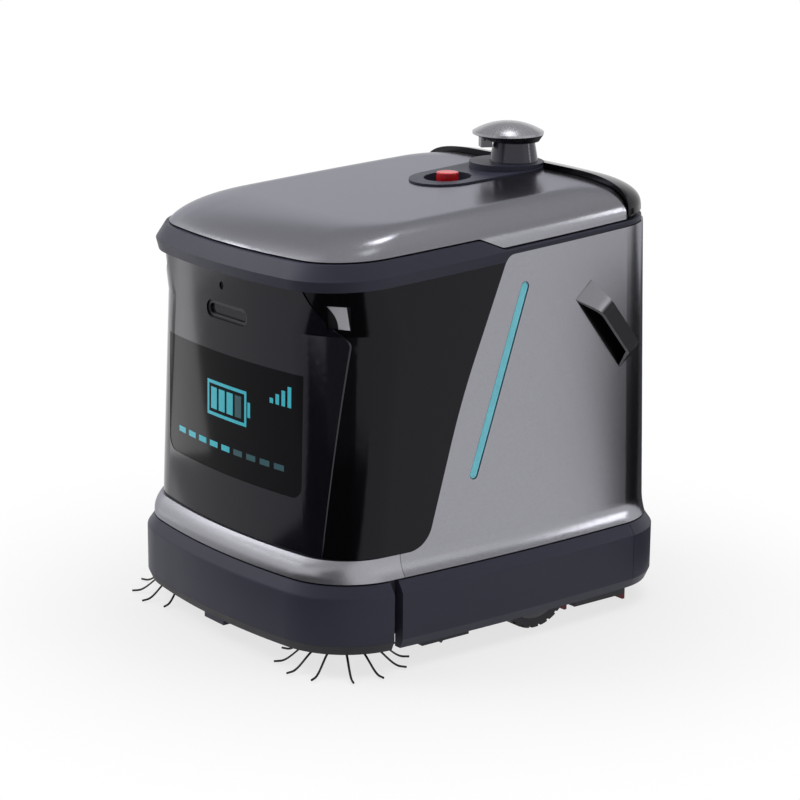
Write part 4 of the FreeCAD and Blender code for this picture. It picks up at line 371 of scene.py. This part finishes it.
# Colour and roughness of each plain finish, then what differs from the usual; grain depths in metres
PLAIN_FINISHES = {
    "slate_plastic": ((0.035, 0.036, 0.057), 0.44, dict(specular=0.24, mottle=0.05, grain_depth=0.00003)),
    "gloss_black": ((0.003, 0.003, 0.004), 0.12, dict(specular=0.22, sheen_spread=0.02)),
    "front_gloss": ((0.005, 0.005, 0.009), 0.13, dict(sheen_spread=0.02)),
    "screen_black": ((0.002, 0.002, 0.003), 0.10, dict(specular=0.12, sheen_spread=0.02)),
    "camera_black": ((0.012, 0.012, 0.014), 0.35, dict(grain_depth=0.00002)),
    "camera_glass": ((0.012, 0.012, 0.016), 0.12, dict(sheen_spread=0.02)),
    "base_black": ((0.016, 0.016, 0.018), 0.55, dict(grain_depth=0.00005)),
    "bay_grey": ((0.09, 0.09, 0.10), 0.5, dict(grain_depth=0.00004)),
    "lip_rubber": ((0.010, 0.010, 0.011), 0.6, dict(grain_depth=0.00004)),
    "tyre_rubber": ((0.014, 0.014, 0.015), 0.65, dict(grain_depth=0.00006)),
    "wheel_grey": ((0.10, 0.10, 0.105), 0.45, dict(grain_depth=0.00003)),
    "blade_red": ((0.26, 0.012, 0.018), 0.45, dict(mottle=0.1)),
    "bristle_black": ((0.008, 0.008, 0.009), 0.4, dict()),
    "hub_black": ((0.018, 0.018, 0.02), 0.45, dict(grain_depth=0.00003)),
    "bristle_grey": ((0.15, 0.16, 0.18), 0.55, dict(mottle=0.25, cloud=500.0)),
    "stop_red": ((0.62, 0.008, 0.012), 0.26, dict(mottle=0.05)),
    "stem_dark": ((0.040, 0.040, 0.060), 0.16, dict()),
    "rotor_dark": ((0.02, 0.02, 0.022), 0.4, dict(grain_depth=0.00002)),
    "sensor_grey": ((0.26, 0.26, 0.27), 0.35, dict(metallic=0.4)),
    "clean_white": ((0.66, 0.70, 0.74), 0.45, dict(mottle=0.08, grain_depth=0.00003)),
    "waste_grey": ((0.28, 0.30, 0.32), 0.45, dict(mottle=0.1, grain_depth=0.00003)),
    "cap_blue": ((0.02, 0.10, 0.28), 0.4, dict(grain_depth=0.00003)),
    "battery_dark": ((0.028, 0.028, 0.031), 0.5, dict(grain_depth=0.00004)),
    "fan_dark": ((0.04, 0.04, 0.045), 0.5, dict(grain_depth=0.00004)),
    "box_metal": ((0.42, 0.42, 0.43), 0.5, dict(metallic=1.0, grain_depth=0.00004)),
    # The corner lenses' pale colour is a painted reflection of the white surround in a glossy cover
    "lens_painted_reflection": ((0.62, 0.62, 0.66), 0.25, dict(specular=0.6)),
    "button_grey": ((0.22, 0.22, 0.23), 0.4, dict(grain_depth=0.00002)),
}

MATERIALS = {name: plain_finish(name, colour, roughness, **differing)
             for name, (colour, roughness, differing) in PLAIN_FINISHES.items()}
MATERIALS["silver_paint"] = metallic_paint("silver_paint", (0.305, 0.305, 0.335), 0.20)
MATERIALS["bright_silver"] = metallic_paint("bright_silver", (0.34, 0.34, 0.37), 0.33)
MATERIALS["steel"] = brushed_metal("steel", (0.48, 0.48, 0.49), 0.3)
MATERIALS["motor_metal"] = brushed_metal("motor_metal", (0.36, 0.36, 0.37), 0.38)
MATERIALS["contact_brass"] = brushed_metal("contact_brass", (0.62, 0.45, 0.18), 0.28)
MATERIALS["strip_cyan"] = light_guide("strip_cyan")
MATERIALS["handle_black"] = hood_paint("handle_black")
MATERIALS["cap_metal"] = scanner_cap("cap_metal")

for part in frame["record"]["subparts"]:
    node = NODES[part["node"]]
    if not node.material_slots:
        node.data.materials.append(None)
    for material_slot in node.material_slots:
        material_slot.material = MATERIALS[part["material_slot"]]


# Fine pieces

def add_object(name, data):
    """A new object in the scene, at the origin."""
    thing = bpy.data.objects.new(name, data)
    bpy.context.scene.collection.objects.link(thing)
    return thing


def mesh_piece(name, points, faces, material, body):
    """A new smooth piece from whole arrays of points and faces, which rides on a body."""
    mesh = bpy.data.meshes.new(name)
    mesh.from_pydata(points.tolist(), [], faces.tolist())
    mesh.update()
    piece = add_object(name, mesh)
    mesh.materials.append(material)
    mesh.polygons.foreach_set("use_smooth", np.ones(len(mesh.polygons), bool))
    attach(piece, body)
    return piece


def grid_faces(rows, columns, wrap):
    """Quads of a grid of points, row by row; wrap joins the last column to the first."""
    steps = columns if wrap else columns - 1
    row, column = np.meshgrid(np.arange(rows - 1), np.arange(steps), indexing="ij")
    following = (column + 1) % columns
    corners = (row * columns + column, row * columns + following,
               (row + 1) * columns + following, (row + 1) * columns + column)
    return np.stack(corners, -1).reshape(-1, 4)


def front_y(x, z, proud):
    """Face of the display panel: the plan's front bow about its centre, drawn in by the body's inset at z."""
    inset = BODY_FRONT_INSET + BODY_TAPER * (z - FLARE_TOP) / (BODY_FORM_TOP - FLARE_TOP) - proud
    radius = FRONT_BOW - inset
    return FRONT_BOW - HALF_LENGTH - np.sqrt(radius ** 2 - x ** 2)


def bristle_fan(name, x, y, body, node):
    """Side brush bristles: round tubes that leave the hub level, fall in an S and end level near the floor.

    Along a bristle (share 0 to 1) the reach grows evenly from the root to the tip, the height falls as a
    smooth step over the middle, and the radius shrinks evenly. Length and heading differ a little from
    bristle to bristle, by a sine of its number."""
    sides = 8
    steps = 26
    share = np.linspace(0, 1, steps)[None, :, None]
    which = np.arange(BRISTLE_COUNT)[:, None, None]
    lap = np.linspace(0, 2 * np.pi, sides, endpoint=False)[None, None, :]
    uneven = np.sin(which * BRISTLE_UNEVEN_STEP)
    reach = BRISTLE_ROOT + (BRISTLE_LENGTH + BRISTLE_UNEVEN_LENGTH * uneven) * share
    heading = 2 * np.pi * which / BRISTLE_COUNT + BRISTLE_UNEVEN_TURN * uneven * share
    middle = np.clip((share - BRISTLE_FALL_START) / BRISTLE_FALL_SHARE, 0, 1)
    height = BRISTLE_ROOT_HEIGHT - BRISTLE_FALL * middle ** 2 * (3 - 2 * middle)
    thick = BRISTLE_RADIUS * (1 - BRISTLE_TAPER * share)
    across = thick * np.cos(lap)
    east = x + reach * np.cos(heading) - across * np.sin(heading)
    north = y + reach * np.sin(heading) + across * np.cos(heading)
    points = np.stack(np.broadcast_arrays(east, north, height + thick * np.sin(lap)), -1)
    one = grid_faces(steps, sides, True)
    starts = np.arange(BRISTLE_COUNT) * steps * sides
    faces = (one[None] + starts[:, None, None]).reshape(-1, 4)
    piece = mesh_piece(name, points.reshape(-1, 3), faces, MATERIALS["bristle_black"], body)
    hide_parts(node)


def screen_patch(name, x_low, x_high, z_low, z_high, material):
    """Flat graphic on the screen: an even grid across x and z that follows the bowed face."""
    columns = 24
    rows = 9
    u, v = np.meshgrid(np.linspace(-1, 1, columns), np.linspace(-1, 1, rows))
    x = (x_low + x_high) / 2 + (x_high - x_low) / 2 * u
    z = (z_low + z_high) / 2 + (z_high - z_low) / 2 * v
    y = front_y(x, z, SCREEN_PROUD + PATCH_LIFT)
    points = np.stack([x, y, z], -1).reshape(-1, 3)
    mesh_piece(name, points, grid_faces(rows, columns, False), material, "chassis")


def status_screen():
    """Generic status display: a charge gauge, signal bars and a dashed progress bar."""
    cyan = glowing("screen_cyan", (0.020, 0.30, 0.37), 0.55)
    dim = glowing("screen_dim", (0.010, 0.060, 0.075), 0.35)
    inner_low = GAUGE_LOW + GAUGE_EDGE
    inner_high = GAUGE_HIGH - GAUGE_EDGE
    tip_start = GAUGE_RIGHT + TIP_GAP
    screen_patch("gauge_top", GAUGE_LEFT, GAUGE_RIGHT, inner_high, GAUGE_HIGH, cyan)
    screen_patch("gauge_bottom", GAUGE_LEFT, GAUGE_RIGHT, GAUGE_LOW, inner_low, cyan)
    screen_patch("gauge_left", GAUGE_LEFT, GAUGE_LEFT + GAUGE_EDGE, inner_low, inner_high, cyan)
    screen_patch("gauge_right", GAUGE_RIGHT - GAUGE_EDGE, GAUGE_RIGHT, inner_low, inner_high, cyan)
    screen_patch("gauge_tip", tip_start, tip_start + TIP_WIDTH, GAUGE_LOW + TIP_INSET,
                 GAUGE_HIGH - TIP_INSET, cyan)
    for step in range(CELLS):
        start = GAUGE_LEFT + CELL_INSET + CELL_PITCH * step
        screen_patch("gauge_cell_%d" % step, start, start + CELL_WIDTH, GAUGE_LOW + CELL_INSET,
                     GAUGE_HIGH - CELL_INSET, cyan if step < CELLS_LIT else dim)
    for step in range(SIGNAL_BARS):
        start = SIGNAL_START + SIGNAL_PITCH * step
        screen_patch("signal_bar_%d" % step, start, start + SIGNAL_WIDTH, SIGNAL_LOW,
                     SIGNAL_LOW + SIGNAL_STEP * (step + 1), cyan)
    for step in range(DASHES):
        start = PROGRESS_START + PROGRESS_PITCH * step
        screen_patch("progress_%d" % step, start, start + PROGRESS_WIDTH, PROGRESS_LOW, PROGRESS_HIGH,
                     cyan if step < DASHES_LIT else dim)


def corner_lens(name, side):
    """Window over the outer half of a corner sensor, with a hollow inner edge; its pale colour is a painted
    reflection of the white surround in a glossy cover.

    Rows run down the sensor's face; the outer edge leans out evenly and the inner edge swings out as
    1 - (1 - share) to the power LENS_HOLLOW, which leaves a hollow curve."""
    rows = 24
    columns = 8
    share, across = np.meshgrid(np.linspace(0, 1, rows), np.linspace(0, 1, columns), indexing="ij")
    inner = LENS_INNER + LENS_INNER_SWING * (1 - (1 - share) ** LENS_HOLLOW)
    outer = LENS_OUTER + LENS_OUTER_LEAN * share
    along = inner + (outer - inner) * across
    x = LENS_REACH * math.sin(LENS_TURN) + along * math.cos(LENS_TURN)
    y = -LENS_REACH * math.cos(LENS_TURN) + along * math.sin(LENS_TURN)
    points = np.stack([side * x, y, LENS_TOP - LENS_HEIGHT * share], -1).reshape(-1, 3)
    faces = grid_faces(rows, columns, False)
    if side > 0:
        faces = faces[:, ::-1]
    mesh_piece(name, points, faces, MATERIALS["lens_painted_reflection"], "chassis")


def sensor_eye():
    """Black eye on the near face of the block under the scanner's cap: rings of points about its centre."""
    rings = 4
    sides = 32
    across, ahead = math.cos(EYE_TURN), math.sin(EYE_TURN)
    centre = np.array((EYE_OUT * across - EYE_FORWARD * ahead,
                       LIDAR_Y - EYE_OUT * ahead - EYE_FORWARD * across, EYE_HEIGHT))
    facing = np.array((across, -ahead, 0.0))
    right = np.cross(facing, (0.0, 0.0, 1.0))
    rise = np.cross(right, facing)
    angle, out = np.meshgrid(np.linspace(0, 2 * np.pi, sides, endpoint=False), np.linspace(0.02, 1, rings))
    points = (centre + (EYE_RADIUS * out * np.cos(angle))[..., None] * right
              + (EYE_RADIUS * out * np.sin(angle))[..., None] * rise).reshape(-1, 3)
    faces = grid_faces(rings, sides, True)
    mesh_piece("sensor_eye", points, faces, MATERIALS["camera_black"], "lid")


bristle_fan("bristles_right", BRUSH_X, BRUSH_Y, "side_brush_right", "brush_bristles_right")
bristle_fan("bristles_left", -BRUSH_X, BRUSH_Y, "side_brush_left", "brush_bristles_left")
corner_lens("corner_lens_right", 1)
corner_lens("corner_lens_left", -1)
sensor_eye()
status_screen()


# Floor, light and camera; places in metres

FLOOR_HALF = 6.0
FLOOR_NEAR = 0.28
FLOOR_FAR = 0.70
FLOOR_NEAR_WHITE = 0.74
SURROUND_LIGHT = 0.22
LIGHT_AIM = (0, 0, 0.3)

# Name, place, width and power in watts of each soft light
LIGHTS = (
    ("key", (-2.2, -1.8, 2.8), 2.2, 62.0),
    ("top", (0.3, 0.6, 3.2), 2.4, 60.0),
    ("side", (3.2, 1.4, 1.6), 1.6, 1.5),
)

# Name, centre, two half sides and brightness of each card; the first five lie on the floor
CARDS = (
    ("flag_back", (0.729, 1.896, 0.005), (-0.214, 0.926, 0), (0.654, 0.689, 0), 0.01),
    ("flag_back_left", (-0.786, 1.609, 0.005), (-0.861, 0.402, 0), (-0.214, 0.926, 0), 0.12),
    ("flag_front_right", (0.60, -1.4, 0.005), (0.80, 0, 0), (0, 1.0, 0), 0.02),
    ("flag_front_left", (-1.05, -1.4, 0.005), (0.85, 0, 0), (0, 1.0, 0), 0.5),
    ("flag_left", (-1.6, -0.80, 0.008), (-0.86, -0.29, 0), (0.04, -0.12, 0), 1.9),
    ("flag_corner", (0.63, -0.80, 0.27), (0.24, 0.19, 0), (0, 0, 0.16), 0.14),
    ("flag_stem", (-0.55, -1.01, 0.86), (0.54, -0.26, 0), (0, 0, 0.13), 0.1),
    ("flag_ceiling", (0.0, 0.0, 2.6), (4.0, 0, 0), (0, 4.0, 0), 0.55),
    ("glint_card", (-0.62, 0.78, 2.5), (0.2, 0, 0), (0, 0.2, 0), 6.0),
    ("edge_card", (0.33, 0.16, 2.5), (0.3, 0, 0), (0, 0.2, 0), 1.3),
    ("strip_card", (1.95, 2.28, 1.15), (-0.13, 0.11, 0), (0, 0, 0.35), 5.0),
)


def seen_or_mirrored(tree):
    """1 for rays from the camera and for mirrored or refracted ones, 0 for the rest."""
    path = tree.nodes.new("ShaderNodeLightPath")
    direct = calculate(tree, "MAXIMUM", path.outputs["Is Camera Ray"], path.outputs["Is Glossy Ray"])
    return calculate(tree, "MAXIMUM", direct, path.outputs["Is Transmission Ray"])


def flat_card(name, centre, across, along, material):
    """A four-cornered card about a centre."""
    centre, across, along = (np.array(value, float) for value in (centre, across, along))
    near, far = centre - along, centre + along
    corners = [near - across, near + across, far + across, far - across]
    mesh = bpy.data.meshes.new(name)
    mesh.from_pydata([corner.tolist() for corner in corners], [], [(0, 1, 2, 3)])
    mesh.materials.append(material)
    return add_object(name, mesh)


def studio_floor():
    """Pale floor that fades into the surround; seen directly it is mostly white and keeps the shadow."""
    material = bpy.data.materials.new("floor")
    material.use_nodes = True
    tree = material.node_tree
    tree.nodes.clear()
    out = tree.nodes.new("ShaderNodeOutputMaterial")
    pale = tree.nodes.new("ShaderNodeBsdfDiffuse")
    pale.inputs["Color"].default_value = (0.80, 0.80, 0.80, 1)
    white = tree.nodes.new("ShaderNodeEmission")
    white.inputs["Color"].default_value = (1, 1, 1, 1)
    length = tree.nodes.new("ShaderNodeVectorMath")
    length.operation = "LENGTH"
    tree.links.new(tree.nodes.new("ShaderNodeTexCoord").outputs["Object"], length.inputs[0])
    far = between(tree, length.outputs["Value"], FLOOR_NEAR, FLOOR_FAR)
    near_white = spread(tree, far, FLOOR_NEAR_WHITE, 1.0)
    mix = tree.nodes.new("ShaderNodeMixShader")
    tree.links.new(calculate(tree, "MULTIPLY", near_white, seen_or_mirrored(tree)), mix.inputs["Fac"])
    tree.links.new(pale.outputs["BSDF"], mix.inputs[1])
    tree.links.new(white.outputs["Emission"], mix.inputs[2])
    tree.links.new(mix.outputs["Shader"], out.inputs["Surface"])
    floor = flat_card("floor", (0, 0, 0), (FLOOR_HALF, 0, 0), (0, FLOOR_HALF, 0), material)


def reflection_card(name, centre, across, along, brightness):
    """Even card that only reflections see, as a studio hangs one to shade or light a side."""
    material = bpy.data.materials.new(name)
    material.use_nodes = True
    shader = material.node_tree.nodes["Principled BSDF"]
    shader.inputs["Base Color"].default_value = (0.0, 0.0, 0.0, 1)
    shader.inputs["Specular IOR Level"].default_value = 0.0
    shader.inputs["Emission Color"].default_value = (1, 1, 1, 1)
    shader.inputs["Emission Strength"].default_value = brightness
    card = flat_card(name, centre, across, along, material)
    card.visible_camera = False
    card.visible_diffuse = False
    card.visible_shadow = False


def surround():
    """White for what sees it directly or mirrored, and a dimmer soft light for everything else."""
    world = bpy.data.worlds.new("surround")
    bpy.context.scene.world = world
    world.use_nodes = True
    tree = world.node_tree
    background = tree.nodes["Background"]
    background.inputs["Color"].default_value = (1, 1, 1, 1)
    feed(tree, spread(tree, seen_or_mirrored(tree), SURROUND_LIGHT, 1.0), background, "Strength")


def stand(thing, place, right, up, back):
    """Put an object at a place, turned so that its axes run right, up and back."""
    thing.matrix_world = Matrix([(right[i], up[i], back[i], place[i]) for i in range(3)] + [(0, 0, 0, 1)])


def soft_light(name, place, size, power):
    """Square area light that faces the part."""
    light = bpy.data.lights.new(name, "AREA")
    light.size = size
    light.energy = power
    back = np.array(place, float) - np.array(LIGHT_AIM, float)
    back /= np.linalg.norm(back)
    right = np.cross((0.0, 0.0, 1.0), back)
    right /= np.linalg.norm(right)
    stand(add_object(name, light), place, right, np.cross(back, right), back)


def camera():
    """Camera at the fitted place, with the picture's centre shifted to the fitted one."""
    data = bpy.data.cameras.new("camera")
    data.sensor_width = SENSOR_MM
    data.lens = FOCAL_PIXELS / IMAGE_PIXELS * SENSOR_MM
    data.shift_x = (IMAGE_PIXELS / 2 - CENTRE_PIXEL[0]) / IMAGE_PIXELS
    data.shift_y = (CENTRE_PIXEL[1] - IMAGE_PIXELS / 2) / IMAGE_PIXELS
    data.clip_end = VIEW_DEPTH
    eye = add_object("camera", data)
    stand(eye, CAMERA_PLACE, CAMERA_RIGHT, CAMERA_UP, np.cross(CAMERA_RIGHT, CAMERA_UP))
    bpy.context.scene.camera = eye


studio_floor()
surround()
for light_row in LIGHTS:
    soft_light(*light_row)
for card_row in CARDS:
    reflection_card(*card_row)
camera()
bpy.context.scene.view_settings.view_transform = "Standard"
